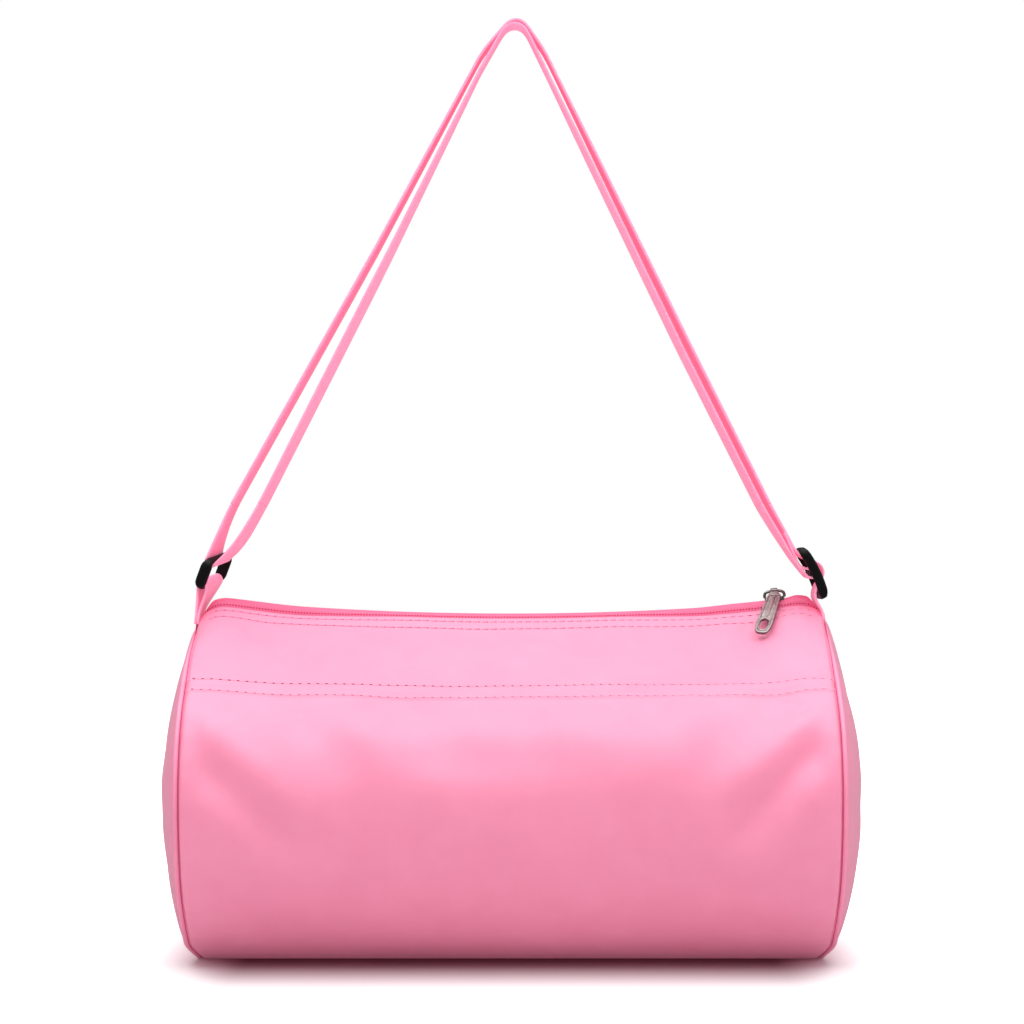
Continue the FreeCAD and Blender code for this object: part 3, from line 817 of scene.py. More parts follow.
# Painted shade: a fine dark cord at the bottom of each end seam's groove.
for side, name in SIDES.items():
    loops = []
    for turn in turns(6):
        y, z = seam_loop(side, SEAM_INSET - SHADE_CORD_RADIUS * math.cos(turn), 0.3)
        x = (HALF_LENGTH + 0.1 + SHADE_CORD_RADIUS * math.sin(turn)) * foot_tuck(z)
        loops.append(xyz(side * x, y, z))
    settle(seam_band(f"{name}_seam_cord", loops, None, painted_seam_shade), "bag", "nylon")

# %% [markdown]
# ## Rows that repeat
#
# In stitches, needle holes and zipper elements one small shape repeats at a fixed pitch along a line
# on the cloth. One Geometry Nodes tree does this for all of them. It turns a guide line into a curve,
# spaces points along it, and sets the shape on each point with its back to the cloth.

# %% Geometry Nodes tree for rows


def build_row_tree():
    tree = bpy.data.node_groups.new("row_along_line", "GeometryNodeTree")
    kinds = {"Guide": "Geometry", "Pitch": "Float", "Element": "Object", "Finish": "Material"}
    for name, kind in kinds.items():
        tree.interface.new_socket(name, in_out="INPUT", socket_type=f"NodeSocket{kind}")
    tree.interface.new_socket("Row", in_out="OUTPUT", socket_type="NodeSocketGeometry")

    def step(kind, **settings):
        return add_node(tree, kind, **settings).outputs[0]

    given = add_node(tree, "NodeGroupInput").outputs
    curve = step("GeometryNodeMeshToCurve", Mesh=given["Guide"])
    spaced = step("GeometryNodeResampleCurve", mode="LENGTH", Curve=curve, Length=given["Pitch"])
    tangent = step("GeometryNodeInputTangent")
    along = step("FunctionNodeAlignRotationToVector", axis="X", Vector=tangent)
    back = step("GeometryNodeInputNamedAttribute", data_type="FLOAT_VECTOR", Name="cloth_normal")
    upright = step("FunctionNodeAlignRotationToVector", axis="Z", pivot_axis="X", Rotation=along, Vector=back)
    shape = add_node(tree, "GeometryNodeObjectInfo", Object=given["Element"]).outputs["Geometry"]
    placed = step("GeometryNodeInstanceOnPoints", Points=spaced, Instance=shape, Rotation=upright)
    real = step("GeometryNodeRealizeInstances", Geometry=placed)
    finished = step("GeometryNodeSetMaterial", Geometry=real, Material=given["Finish"])
    add_node(tree, "NodeGroupOutput", Row=finished)
    return tree


row_tree = build_row_tree()
ROW_SOCKETS = {item.name: item.identifier for item in row_tree.interface.items_tree if item.in_out == "INPUT"}


def baked(holder):
    """Plain mesh of a helper object, which is then removed."""
    bpy.context.view_layer.update()
    graph = bpy.context.evaluated_depsgraph_get()
    mesh = bpy.data.meshes.new_from_object(holder.evaluated_get(graph))
    bpy.data.objects.remove(holder)
    return mesh


def row_along(name, lines, pitch, element, material):
    """Repeat an element along guide lines, each given as points (mm) and the directions it faces."""
    points, edges, backs = [], [], []
    for line, normal in lines:
        start = len(points)
        points.extend((np.asarray(line) * MM).tolist())
        backs.extend(np.asarray(normal).tolist())
        edges.extend((start + i, start + i + 1) for i in range(len(line) - 1))
    guide = bpy.data.meshes.new(f"{name}_guide")
    guide.from_pydata(points, edges, [])
    attribute = guide.attributes.new("cloth_normal", "FLOAT_VECTOR", "POINT")
    attribute.data.foreach_set("vector", np.asarray(backs, np.float32).ravel())
    holder = link_object(f"{name}_guide", guide)
    modifier = holder.modifiers.new("row", "NODES")
    modifier.node_group = row_tree
    modifier[ROW_SOCKETS["Pitch"]] = pitch * MM
    modifier[ROW_SOCKETS["Element"]] = element
    modifier[ROW_SOCKETS["Finish"]] = material
    row = link_object(name, baked(holder))
    row.data.polygons.foreach_set("use_smooth", [True] * len(row.data.polygons))
    return row


def pill(name, length, width, height, dip, around=8, along=7):
    """Small capsule in millimetres, its ends dipping into the cloth."""
    share = np.linspace(-1, 1, along)[:, None]
    turn = turns(around)
    swell = np.sqrt(np.maximum(1 - np.abs(share) ** 3.2, 0.0)) * 0.94 + 0.06
    rise = np.sin(turn) * height / 2 * swell - dip * share**2
    points = xyz(share * length / 2, np.cos(turn) * width / 2 * swell, rise)
    return mesh_object(name, points.reshape(-1, 3), bar_faces(along, around))


# %% [markdown]
# ## Stitches
#
# The real thread matches the cloth, so a stitch shows by its small shadow and by the dark needle hole
# at its end. The hem thread here is coloured a little paler, painted light against the stitches' own
# shade, and each hole's dark is painted shade on a small pill. Two rows hold the pocket's hem, and
# two hold the cloth to each side of the zipper.

# %% Stitch rows
# The hem thread is paler than the cloth: painted light that offsets the shade of the sunk stitches.
thread = plain_material("hem_thread_painted_paler", (0.98, 0.40, 0.60), 0.5, 0.8)
zipper_thread = plain_material("zipper_sewing_thread", (0.94, 0.30, 0.49), 0.6)
# Needle holes: their dark is painted shade, set on small pills over the cloth.
needle_hole_shade = plain_material("painted_needle_hole_shade", (0.30, 0.05, 0.13), 0.9, 0.1)
faint_needle_hole_shade = plain_material("painted_faint_needle_hole_shade", (0.62, 0.15, 0.30), 0.9, 0.1)
STITCH_PITCH = 5.4
HEM_ROWS = (1.2, 11.8)
ZIPPER_ROWS = (3.6, 10.2)
HEM_REACH = 197.5
ZIPPER_REACH = 190.0
LINE_SAMPLES = 260
MOUTHS = (("front_mouth", -1, "front"), ("rear_mouth", 1, "rear"))


def cloth_line(girth, side, lift, reach):
    """Line along the cloth at a girth, with the direction that the cloth faces."""
    x = np.linspace(-reach, reach, LINE_SAMPLES)
    girth = np.zeros_like(x) + girth
    line = skin_point(x, girth, side, lift)
    return line, skin_point(x, girth, side, lift + 1.0) - line


def half_stitch_later(lines):
    """The same lines started half a stitch later, so that holes fall between stitches."""
    out = []
    for line, normal in lines:
        skip = 0.5 * STITCH_PITCH / np.linalg.norm(line[1] - line[0])
        first = line[0] + (line[1] - line[0]) * skip
        after = math.ceil(skip) + 1
        out.append((np.concatenate([[first], line[after:]]), np.concatenate([normal[:1], normal[after:]])))
    return out


stitch = pill("stitch", 4.3, 0.62, 0.42, 0.16)
hole = pill("hole", 1.75, 0.95, 0.24, 0.0)
hem_x = np.linspace(-HEM_REACH, HEM_REACH, LINE_SAMPLES)
hem_lines = []
for below in HEM_ROWS:
    row_girth = HEM_GIRTH - below
    row_lift = pocket_lift(hem_x, row_girth) + 0.16
    hem_lines.append(cloth_line(row_girth - hem_drop(hem_x, row_girth), -1, row_lift, HEM_REACH))
high_late, low_late = half_stitch_later(hem_lines)
for name, lines, element, material in (
    ("hem_stitches", hem_lines, stitch, thread),
    ("hem_needle_holes", [high_late], hole, needle_hole_shade),
    ("low_hem_needle_holes", [low_late], hole, faint_needle_hole_shade),
):
    settle(row_along(name, lines, STITCH_PITCH, element, material), "bag", "nylon")
for body, side, tag in MOUTHS:
    lines = [cloth_line(GIRTH - below, side, 0.2, ZIPPER_REACH) for below in ZIPPER_ROWS]
    stitches = row_along(f"{body}_stitches", lines, STITCH_PITCH, stitch, zipper_thread)
    bend_with_mouth(stitches, body, "nylon")
    late = half_stitch_later(lines)
    bend_with_mouth(row_along(f"{body}_needle_holes", late, STITCH_PITCH, hole, faint_needle_hole_shade), body, "nylon")
print("stitches:", len(stitches.data.polygons), "faces on each side of the zipper")

# %% [markdown]
# ## Zipper
#
# Each side of the zipper is a woven tape with a nylon coil sewn along its edge. From the front the
# coil shows as a bright ridge of small loops above the fold of the cloth. The tapes are thin closed
# strips, and the coil's loops are one element repeated along the mouth's arc by the row tree.

# %% Tapes and coils
TAPE_X = 198.6 * np.sin(np.linspace(-1, 1, 161) * 1.3) / math.sin(1.3)
# Each profile point: distance from the middle, height under the cloth edge, share of the band's rise
TAPE_PROFILE = [(13.5, -6.5, 0), (10.0, -3.6, 0), (7.4, -1.7, 0), (6.6, -0.7, 0.02), (6.1, 0, 0.2),
                (5.6, 0, 0.42), (4.8, 0, 0.68), (3.4, 0, 0.9), (1.8, 0, 0.98), (0.35, 0, 1)]
TAPE_THICK = 0.6
COIL_PITCH = 1.3
COIL_START = -182.0
COIL_END = 181.5
TAPE_STITCH_PITCH = 1.9
coil_plastic = plain_material("zipper_coil_nylon", (0.93, 0.115, 0.285), 0.42, 0.5)
tape_thread = plain_material("tape_stitch_thread", (0.62, 0.035, 0.13), 0.7, 0.2)
loop = pill("coil_loop", 1.1, 2.2, 1.0, 0.0, around=10, along=6)
tape_stitch = pill("tape_stitch", 1.15, 0.9, 0.7, 0.1)
ridge = ridge_height(TAPE_X) - corner_dip(TAPE_X)
rise = band_rise(TAPE_X) * (1 - smooth((np.abs(TAPE_X) - 189) / 10))
tape_uv = np.dstack(np.meshgrid(TAPE_X, [y for y, z, share in TAPE_PROFILE]))
for body, side, tag in MOUTHS:
    strips = np.array([xyz(TAPE_X, side * y, ridge + z + rise * share) for y, z, share in TAPE_PROFILE])
    under = strips - np.array([0.0, 0.0, TAPE_THICK])
    tape = double_layer(f"zipper_tape_{tag}_weave", strips, under, tape_uv, tape_cloth)
    bend_with_mouth(tape, body, "zipper_tape", f"zipper_tape_{tag}")
    edge = (xyz(TAPE_X, side * 6.0, ridge + 0.3 * rise), np.tile([0.0, side * 0.85, 0.53], (len(TAPE_X), 1)))
    dots = row_along(f"zipper_tape_{tag}_stitches", [edge], TAPE_STITCH_PITCH, tape_stitch, tape_thread)
    bend_with_mouth(dots, body, "zipper_tape")
    coil_x = np.linspace(COIL_START + (0.5 * COIL_PITCH if side > 0 else 0.0), COIL_END, 400)
    coil_line = xyz(coil_x, side * 1.3, band_height(coil_x) - 0.5 - corner_dip(coil_x))
    up = np.tile([0.0, 0.0, 1.0], (len(coil_x), 1))
    coil = row_along(f"zipper_coil_{tag}_loops", [(coil_line, up)], COIL_PITCH, loop, coil_plastic)
    bend_with_mouth(coil, body, "zipper_coil", f"zipper_coil_{tag}")
for element in (stitch, hole, loop, tape_stitch):
    bpy.data.objects.remove(element)
print("zipper coil:", len(coil.data.polygons), "faces a side")

# %% [markdown]
# ## Slider and pull
#
# The slider is die-cast in dark nickel. It is drawn at the middle of the zipper, where everything is
# upright, then carried along the mouth's arc to its closed place at the right. The pull hangs from a
# wire bail and lies on the front of the roof. Its face is plain: a raised rim, a ridge and a hole.

# %% Metal and small castings
nickel, tree = new_material("dark_nickel")
tarnish = noise(tree, 420.0, 6.0, 0.65)
finish_surface(
    tree,
    Base_Color=ramp(tree, tarnish, (0.20, 0.185, 0.175), (0.42, 0.40, 0.385), 0.3, 0.72),
    Roughness=in_range(tree, tarnish, 0.0, 1.0, 0.26, 0.46),
    Normal=bump(tree, tarnish, 0.2, 0.00012),
    Metallic=1.0,
)
MOUTH_CENTRE = np.array([0.0, 0.0, RIDGE_MID + SAG_RADIUS])
SLIDER_TURN = math.asin(169.4 / SAG_RADIUS)
PLATE_THICK = 1.2
PLATE_LOW = RIDGE_MID + 2.0
PLATE_HIGH = PLATE_LOW + PLATE_THICK
BAIL_HEIGHT = RIDGE_MID + 6.964
PULL_DROP = math.radians(37.6)
PULL_LEAN = math.radians(20.0)
LEAN_PIVOT = np.array([0.0, 4.38, 0.0])


def turned(points, first, second, angle):
    """Points turned by an angle from one axis towards another."""
    out = np.array(points, float)
    a, b = out[:, first].copy(), out[:, second].copy()
    out[:, first] = a * math.cos(angle) - b * math.sin(angle)
    out[:, second] = a * math.sin(angle) + b * math.cos(angle)
    return out


def carry_to_slider(points):
    """Turn points about the centre of the mouth's arc, from mid-length to the slider's place."""
    return turned(np.asarray(points) - MOUTH_CENTRE, 0, 2, SLIDER_TURN) + MOUTH_CENTRE


def drop_pull(points):
    """Turn points about the bail, down over the roof."""
    return carry_to_slider(turned(points, 1, 2, PULL_DROP) + np.array([0.0, 0.0, BAIL_HEIGHT]))


def shaped(outlines, half_thickness, edge, height=0.0):
    """Flat casting from closed outlines (the first is the edge, others are holes), in millimetres."""
    data = bpy.data.curves.new("casting", "CURVE")
    data.dimensions = "2D"
    data.fill_mode = "BOTH"
    data.extrude = half_thickness - edge
    data.bevel_depth = edge
    data.bevel_resolution = 2
    data.offset = -edge
    for outline in outlines:
        spline = data.splines.new("POLY")
        spline.points.add(len(outline) - 1)
        for point, (u, v) in zip(spline.points, outline):
            point.co = (u, v, 0, 1)
        spline.use_cyclic_u = True
    mesh = baked(link_object("casting", data))
    points = np.empty(len(mesh.vertices) * 3)
    mesh.vertices.foreach_get("co", points)
    faces = [tuple(p.vertices) for p in mesh.polygons]
    bpy.data.meshes.remove(mesh)
    return points.reshape(-1, 3) + np.array([0.0, 0.0, height]), faces


def rounded_outline(corners, radii, steps=6):
    """Closed outline with each corner rounded."""
    out = []
    count = len(corners)
    for i in range(count):
        p = np.array(corners[i], float)
        before = np.array(corners[i - 1], float) - p
        after = np.array(corners[(i + 1) % count], float) - p
        a = p + unit(before) * radii[i]
        b = p + unit(after) * radii[i]
        for t in np.linspace(0, 1, steps):
            out.append(tuple((1 - t) ** 2 * a + 2 * t * (1 - t) * p + t * t * b))
    return out


def joined(name, parts, material):
    """One piece from several closed forms, each a list of points (mm) and faces."""
    points, faces = [], []
    for part_points, part_faces in parts:
        start = len(points)
        points.extend(np.asarray(part_points).tolist())
        faces.extend(tuple(start + i for i in face) for face in part_faces)
    obj = mesh_object(name, points, faces, None, material)
    face_outwards(obj, weld=True)
    obj.data.polygons.foreach_set("use_smooth", [True] * len(obj.data.polygons))
    obj.data.set_sharp_from_angle(angle=math.radians(38))
    obj.data.update()
    return obj


def sweep(path, acrosses, section, first=None, last=None):
    """Carry a flat section along a path: width directions and, if given, the two end directions."""
    tangents = unit(np.gradient(path, axis=0))
    if first is not None:
        tangents[0] = first
    if last is not None:
        tangents[-1] = last
    points = []
    for centre, tangent, across in zip(path, tangents, acrosses):
        a = unit(across - tangent * np.dot(across, tangent))
        n = np.cross(tangent, a)
        points.extend(centre + a * w + n * t for w, t in section)
    return np.array(points), bar_faces(len(path), len(section))


def tube(path, radius, around, side):
    """Round bar along a path of points. Side is a direction across it."""
    section = [(radius * math.cos(turn), radius * math.sin(turn)) for turn in turns(around)]
    return sweep(np.array(path), [side] * len(path), section)


# %% Slider body, bail and pull
Y_AXIS = np.array([0.0, 1.0, 0.0])
SLIDER_EDGE = [(-6.5, -2.5), (-1.5, -3.3), (3.4, -4.3), (6.5, -3.2), (5.3, 0), (6.5, 3.2), (3.4, 4.3),
               (-1.5, 3.3), (-6.5, 2.5)]
LIP_EDGE = [(-6.2, 1.7), (-1.5, 2.6), (3.3, 3.5), (5.6, 2.9), (5.6, 3.7), (3.3, 4.2), (-1.5, 3.3),
            (-6.2, 2.4)]
PLATE_MIDDLES = (PLATE_LOW + PLATE_THICK / 2, PLATE_LOW - 5.6 + PLATE_THICK / 2)
slider_edge = rounded_outline(SLIDER_EDGE, [1.2, 1.5, 1.6, 0.9, 0.8, 0.9, 1.6, 1.5, 1.2])
post_edge = rounded_outline([(2.0, -0.7), (4.6, -0.9), (4.6, 0.9), (2.0, 0.7)], [0.3] * 4)
parts = [shaped([slider_edge], PLATE_THICK / 2, 0.4, middle) for middle in PLATE_MIDDLES]
parts += [shaped([[(x, side * y) for x, y in LIP_EDGE]], 0.9, 0.2, PLATE_LOW - 0.7) for side in SIDES]
parts.append(shaped([post_edge], 2.4, 0.15, PLATE_LOW - 2.2))
slider = joined("slider_casting", [(carry_to_slider(p), f) for p, f in parts], nickel)
settle(slider, "slider", "zipper_metal", "zipper_slider")

BAIL_FOOT = PLATE_HIGH - 0.5
arch = []
for t in np.linspace(0, math.pi, 25):
    arch.append((-6.4 * math.cos(t), 0.0, BAIL_FOOT + (BAIL_HEIGHT - BAIL_FOOT) * math.sin(t) ** 0.45))
bail_points, faces = tube(arch, 0.95, 14, Y_AXIS)
bail = joined("bail_wire", [(carry_to_slider(bail_points), faces)], nickel)
settle(bail, "slider", "zipper_metal", "zipper_bail")

MIRROR = np.array([1.0, -1.0, 1.0])
PULL_EDGE = [(-3.7, 3.4), (-4.3, 7.5), (-5.3, 36.5), (-3.6, 44.2), (3.6, 44.2), (5.3, 36.5), (4.3, 7.5),
             (3.7, 3.4)]
HOLE_EDGE = [(-2.7, 31.6), (0.0, 29.6), (2.7, 31.6), (2.8, 37.0), (1.6, 40.8), (-1.6, 40.8), (-2.8, 37.0)]
RIM_EDGE = [(-3.6, 30.2), (0.0, 27.4), (3.6, 30.2), (3.7, 37.6), (2.2, 42.2), (-2.2, 42.2), (-3.7, 37.6)]
RIB_EDGE = [(-1.0, 6.0), (1.0, 6.0), (1.25, 25.6), (0, 28.2), (-1.25, 25.6)]
NECK_EDGE = [(-2.4, 1.4), (2.4, 1.4), (3.2, 5.4), (-3.2, 5.4)]
EYE_EDGE = [(-2.1, 1.0), (2.1, 1.0), (2.1, 1.75), (-2.1, 1.75)]
EYE_AROUND = 28
INSET_EDGE = [(u * 0.70, 23.6 + (v - 23.6) * 0.915) for u, v in PULL_EDGE]
pull_outline = rounded_outline(PULL_EDGE, [1.2, 1.5, 3.0, 3.0, 3.0, 3.0, 1.5, 1.2])
pull_inset = rounded_outline(INSET_EDGE, [0.8, 1.0, 1.8, 1.6, 1.6, 1.8, 1.0, 0.8])
pull_hole = rounded_outline(HOLE_EDGE, [0.7, 0.8, 0.7, 0.9, 0.9, 0.9, 0.9])
hole_rim = rounded_outline(RIM_EDGE, [0.9, 0.8, 0.9, 1.0, 1.0, 1.0, 1.0])
pull_rib = rounded_outline(RIB_EDGE, [0.5, 0.5, 0.6, 0.5, 0.6])
parts = []
for outlines, half, edge in (
    ([pull_outline, pull_hole], 0.55, 0.15),
    ([pull_outline, pull_inset], 1.0, 0.32),
    ([hole_rim, pull_hole], 0.95, 0.28),
    ([pull_rib], 0.98, 0.4),
):
    points, faces = shaped(outlines, half, edge)
    leaning = turned(points * MIRROR + LEAN_PIVOT, 0, 1, -PULL_LEAN) - LEAN_PIVOT
    parts.append((drop_pull(leaning), faces))
points, faces = shaped([rounded_outline(NECK_EDGE, [0.5, 0.5, 0.8, 0.8])], 0.9, 0.3)
parts.append((drop_pull(points * MIRROR), faces))
eye_section = rounded_outline(EYE_EDGE, [0.3] * 4, 4)
eye_points = []
for turn in turns(EYE_AROUND):
    eye_points.extend((u, r * math.cos(turn), r * math.sin(turn)) for u, r in eye_section)
parts.append((drop_pull(eye_points), grid_faces(EYE_AROUND, len(eye_section), close_rows=True)))
pull = joined("pull_plate", parts, nickel)
settle(pull, "pull", "zipper_metal", "zipper_pull")
print("pull:", len(pull.data.polygons), "faces")

# %% [markdown]
# ## Ring and adjuster
#
# Both are moulded in black acetal with a satin skin. The ring is a rounded bar bent into a
# rectangle. The adjuster is the same frame, taller, with a third bar across its middle. Each is swept
# from a rounded section, so that its edges catch a soft line of light.

# %% Moulded hardware
acetal, tree = new_material("black_acetal")
grain = noise(tree, 700.0, 4.0, 0.6)
finish_surface(
    tree,
    Base_Color=ramp(tree, grain, (0.002, 0.002, 0.002), (0.006, 0.006, 0.006)),
    Normal=bump(tree, grain, 0.25, 0.00015),
    Roughness=0.46,
    Specular_IOR_Level=0.16,
)
RING_TILT = math.radians(26.0)
RING_TWIST = math.radians(14.0)
RING_ROLL = math.radians(17.0)
RING_HALF = 8.4
GLIDE_TILT = math.radians(25.4)
GLIDE_HALF = 15.6
GLIDE_BOW = 1.5
FRAME_HALF = 15.0
FRAME_CORNER = 4.2
ring_up = np.array([math.sin(RING_TILT), 0.0, math.cos(RING_TILT)])
ring_across = Y_AXIS * math.cos(RING_TWIST) - np.cross(ring_up, Y_AXIS) * math.sin(RING_TWIST)
ring_out = np.cross(ring_across, ring_up)
ring_across, ring_up = (
    ring_across * math.cos(RING_ROLL) + ring_up * math.sin(RING_ROLL),
    ring_up * math.cos(RING_ROLL) - ring_across * math.sin(RING_ROLL),
)
ring_centre = np.array([-190.1, 0.0, 244.0])
glide_up = np.array([-math.sin(GLIDE_TILT), 0.0, math.cos(GLIDE_TILT)])
glide_out = np.array([math.cos(GLIDE_TILT), 0.0, math.sin(GLIDE_TILT)])
glide_centre = np.array([192.6, 0.0, 242.6])


def squared(value):
    """Bulge a sine or cosine, so that a round section turns into a rounded rectangle."""
    return math.copysign(abs(value) ** 0.62, value)


def bar_frame(half_height, half_bar, half_thick, end_thick, section=20):
    """Closed rectangular frame of rounded bar with stouter ends, in its own axes across, up and out."""
    corners = [(x * FRAME_HALF, y * half_height) for x, y in ((-1, -1), (1, -1), (1, 1), (-1, 1))]
    centreline = np.array(rounded_outline(corners, [FRAME_CORNER] * 4, 9))
    line = []
    for a, b in zip(centreline, np.roll(centreline, -1, axis=0)):
        steps = max(1, round(math.dist(a, b) / 2.5))
        line.extend(a + (b - a) * t / steps for t in range(steps))
    line = np.array(line)
    ahead = unit(np.roll(line, -1, axis=0) - np.roll(line, 1, axis=0))
    points = []
    for centre, normal in zip(line, np.stack([ahead[:, 1], -ahead[:, 0]], axis=-1)):
        thick = half_thick + (end_thick - half_thick) * normal[0] ** 2
        for turn in turns(section):
            place = centre + normal * half_bar * squared(math.cos(turn))
            points.append((*place, thick * squared(math.sin(turn))))
    return np.array(points), grid_faces(len(line), section, close_rows=True)


def set_on(points, centre, across, up, out):
    return centre + points[:, :1] * across + points[:, 1:2] * up + points[:, 2:3] * out


points, faces = bar_frame(RING_HALF, 2.3, 2.3, 3.6)
ring = joined("ring_moulding", [(set_on(points, ring_centre, ring_across, ring_up, ring_out), faces)], acetal)
settle(ring, "ring", "black_plastic", "strap_ring")
points, faces = bar_frame(GLIDE_HALF, 2.15, 2.4, 3.1)
points[:, 2] += GLIDE_BOW * (1 - (points[:, 1] / GLIDE_HALF) ** 2)
bar_path = [glide_centre + Y_AXIS * t for t in np.linspace(-FRAME_HALF, FRAME_HALF, 13)]
glide_parts = [
    (set_on(points, glide_centre, Y_AXIS, glide_up, glide_out), faces),
    tube(bar_path, 2.1, 16, glide_up),
]
adjuster = joined("adjuster_moulding", glide_parts, acetal)
settle(adjuster, "adjuster", "black_plastic", "tri_glide")

# %% [markdown]
# ## Webbing
#
# Tab, strap and anchor are one kind of flat woven webbing, 25 mm wide. Webbing bends only across its
# flat, so each length is a ribbon: a line of stations, each with a centre and the direction of its
# width. Round a bar it turns in a tight arc, and between the ring and the long run it twists a little.

# %% Webbing helpers
WEB_WIDTH = 25.0
WEB_THICK = 1.5
BACK_SHIFT = 30
webbing_weave_and_glow, tree = new_material("webbing_weave_and_glow")
axes = cloth_axes(tree)
chevron = maths(tree, "MULTIPLY_ADD", maths(tree, "PINGPONG", axes["Y"], 3.1), 0.55, axes["X"])
ribs = maths(tree, "MULTIPLY_ADD", wave(tree, axes["Y"], 0.525), 0.45, wave(tree, chevron, 0.625))
tone = maths(tree, "MULTIPLY_ADD", ribs, 0.05, noise(tree, 160.0, 4.0))
facing = add_node(tree, "ShaderNodeLayerWeight", Blend=0.5).outputs["Facing"]
finish_surface(
    tree,
    Base_Color=ramp(tree, tone, (0.97, 0.29, 0.46), (0.99, 0.36, 0.54), 0.25, 0.75),
    Normal=bump(tree, ribs, in_range(tree, facing, 0.35, 0.7, 0.12, 0.0), 0.0002),
    Roughness=0.62,
    Specular_IOR_Level=0.15,
    # Painted light: a faint pink glow stands in for light passing through the webbing and warms its shaded
    # faces.
    Emission_Color=(0.72, 0.34, 0.48, 1),
    Emission_Strength=0.25,
)


def route(corners, radii, step=2.2):
    """Points along straight runs joined by arcs, for corners given as (x, z) in millimetres."""
    corners = [np.array(c, float) for c in corners]
    line = [corners[0]]

    def run_to(end):
        start = line[-1]
        pieces = max(1, round(np.linalg.norm(end - start) / step))
        line.extend(start + (end - start) * t / pieces for t in range(1, pieces + 1))

    for corner, after, radius in zip(corners[1:], corners[2:], radii):
        back = unit(line[-1] - corner)
        ahead = unit(after - corner)
        half = math.acos(np.clip(np.dot(back, ahead), -1, 1)) / 2
        cut = radius / math.tan(half)
        centre = corner + unit(back + ahead) * radius / math.sin(half)
        run_to(corner + back * cut)
        sweep = math.pi - 2 * half
        pieces = max(3, round(sweep * radius / min(step, 0.9 * radius + 0.1)))
        a, b = corner + back * cut - centre, corner + ahead * cut - centre
        sense = np.sign(a[0] * b[1] - a[1] * b[0])
        for t in range(1, pieces + 1):
            turn = sense * sweep * t / pieces
            c, s = math.cos(turn), math.sin(turn)
            line.append(centre + np.array([a[0] * c - a[1] * s, a[0] * s + a[1] * c]))
    run_to(corners[-1])
    return np.array(line)


def eased(line, rounds):
    """Soften the change of curve along a line, leaving its two ends in place."""
    line = np.array(line, float)
    for _ in range(rounds):
        line[1:-1] = 0.25 * line[:-2] + 0.5 * line[1:-1] + 0.25 * line[2:]
    return line


def web_section():
    """Outline across the webbing: flat faces, round selvedges."""
    half_t = WEB_THICK / 2
    reach = WEB_WIDTH / 2 - half_t
    flat = np.linspace(-reach, reach, 9)
    edge = np.linspace(-math.pi / 2, math.pi / 2, 6)[1:-1]
    right = [(reach + half_t * math.cos(a), -half_t * math.sin(a)) for a in edge]
    left = [(-reach - half_t * math.cos(a), half_t * math.sin(a)) for a in edge]
    return [(w, half_t) for w in flat] + right + [(w, -half_t) for w in flat[::-1]] + left


WEB_SECTION = web_section()


def ribbon(name, centres, acrosses, first=None, last=None):
    """Flat webbing through stations, its cut ends left sharp."""
    points, faces = sweep(centres, acrosses, WEB_SECTION, first, last)
    length = np.concatenate([[0], np.cumsum(np.linalg.norm(np.diff(centres, axis=0), axis=1))])
    uvs = [(u, w + (BACK_SHIFT if t < 0 else 0)) for u in length for w, t in WEB_SECTION]
    obj = mesh_object(name, points, faces, uvs, webbing_weave_and_glow)
    for cut in obj.data.polygons[-2:]:
        cut.use_smooth = False
    return obj


def bend_strap(piece, node, share):
    """Work out a share from height for webbing between the bag and another body, which is not used, and hide
    its CAD part.
    """
    bend(piece, lambda points: share(points[:, 2]))
    name_piece(piece, "webbing", node)


# %% [markdown]
# ## Strap
#
# The strap starts at its sewn end on the adjuster, climbs to the peak, drops to the ring, passes
# through it, and climbs back beside itself to come down through the adjuster into the right end
# seam. The long runs meet their short ends at the height of the strap's hinge.

# %% Strap lines
SPLIT = 285.0
PEAK_X = 2.3
BAR_TURN = 3.25
# Each line: corners in the photo's plane, then places on the adjuster (out, up), then the arcs' radii
OUTER_CORNERS = [(-191.2, 248.2), (-177.5, 285.0), (-86.9, 447.0), (-18.0, 575.0), (4.2, 600.8),
                 (21.8, 575.5), (115.6, 384.0), (165.6, 284.0)]
OUTER_GLIDE = [(-4.3, 15.8), (6.9, 3.0), (6.9, -3.0), (-7.2, -13.4)]
OUTER_SEAM = [(199.0, 219.0), (199.6, 210.0)]
OUTER_RADII = [70, 400, 60, 8, 50, 300, 60, 8, 3.6, 3.6, 8, 8]
INNER_CORNERS = [(-185.2, 245.9), (-159.3, 285.0), (-77.0, 447.0), (-19.5, 563.5), (3.3, 603.4),
                 (109.6, 384.0), (160.2, 284.0)]
INNER_GLIDE = [(-7.4, 13.0), (-4.0, -1.2), (-0.6, -3.3), (3.3, -3.3), (3.3, 3.3), (-1.6, 3.5), (-6.0, 7.0),
               (-6.0, 31.0)]
INNER_RADII = [60, 400, 80, 8.6, 300, 60, 12, 2.2, 1.2, 3.1, 3.1, 1.5, 3.0]
TWIST_HEIGHTS = [212.0, 250.0, 268.0, 285.0, 345.0, 420.0, 510.0, 560.0]
TWIST_DEGREES = {
    ("outer", -1): [0.0, 0.0, 5.0, 5.0, 4.5, 4.0, 2.0, 0.0],
    ("inner", -1): [0.0, 0.0, 7.5, 7.5, 7.5, 7.0, 2.5, 0.0],
    ("outer", 1): [0.0, 0.0, 4.0, 5.0, 5.0, 4.5, 2.5, 0.0],
    ("inner", 1): [0.0, 0.0, 4.0, 5.0, 5.0, 4.5, 2.5, 0.0],
}


def on_glide(out, up):
    point = glide_centre + glide_out * out + glide_up * up
    return (point[0], point[2])


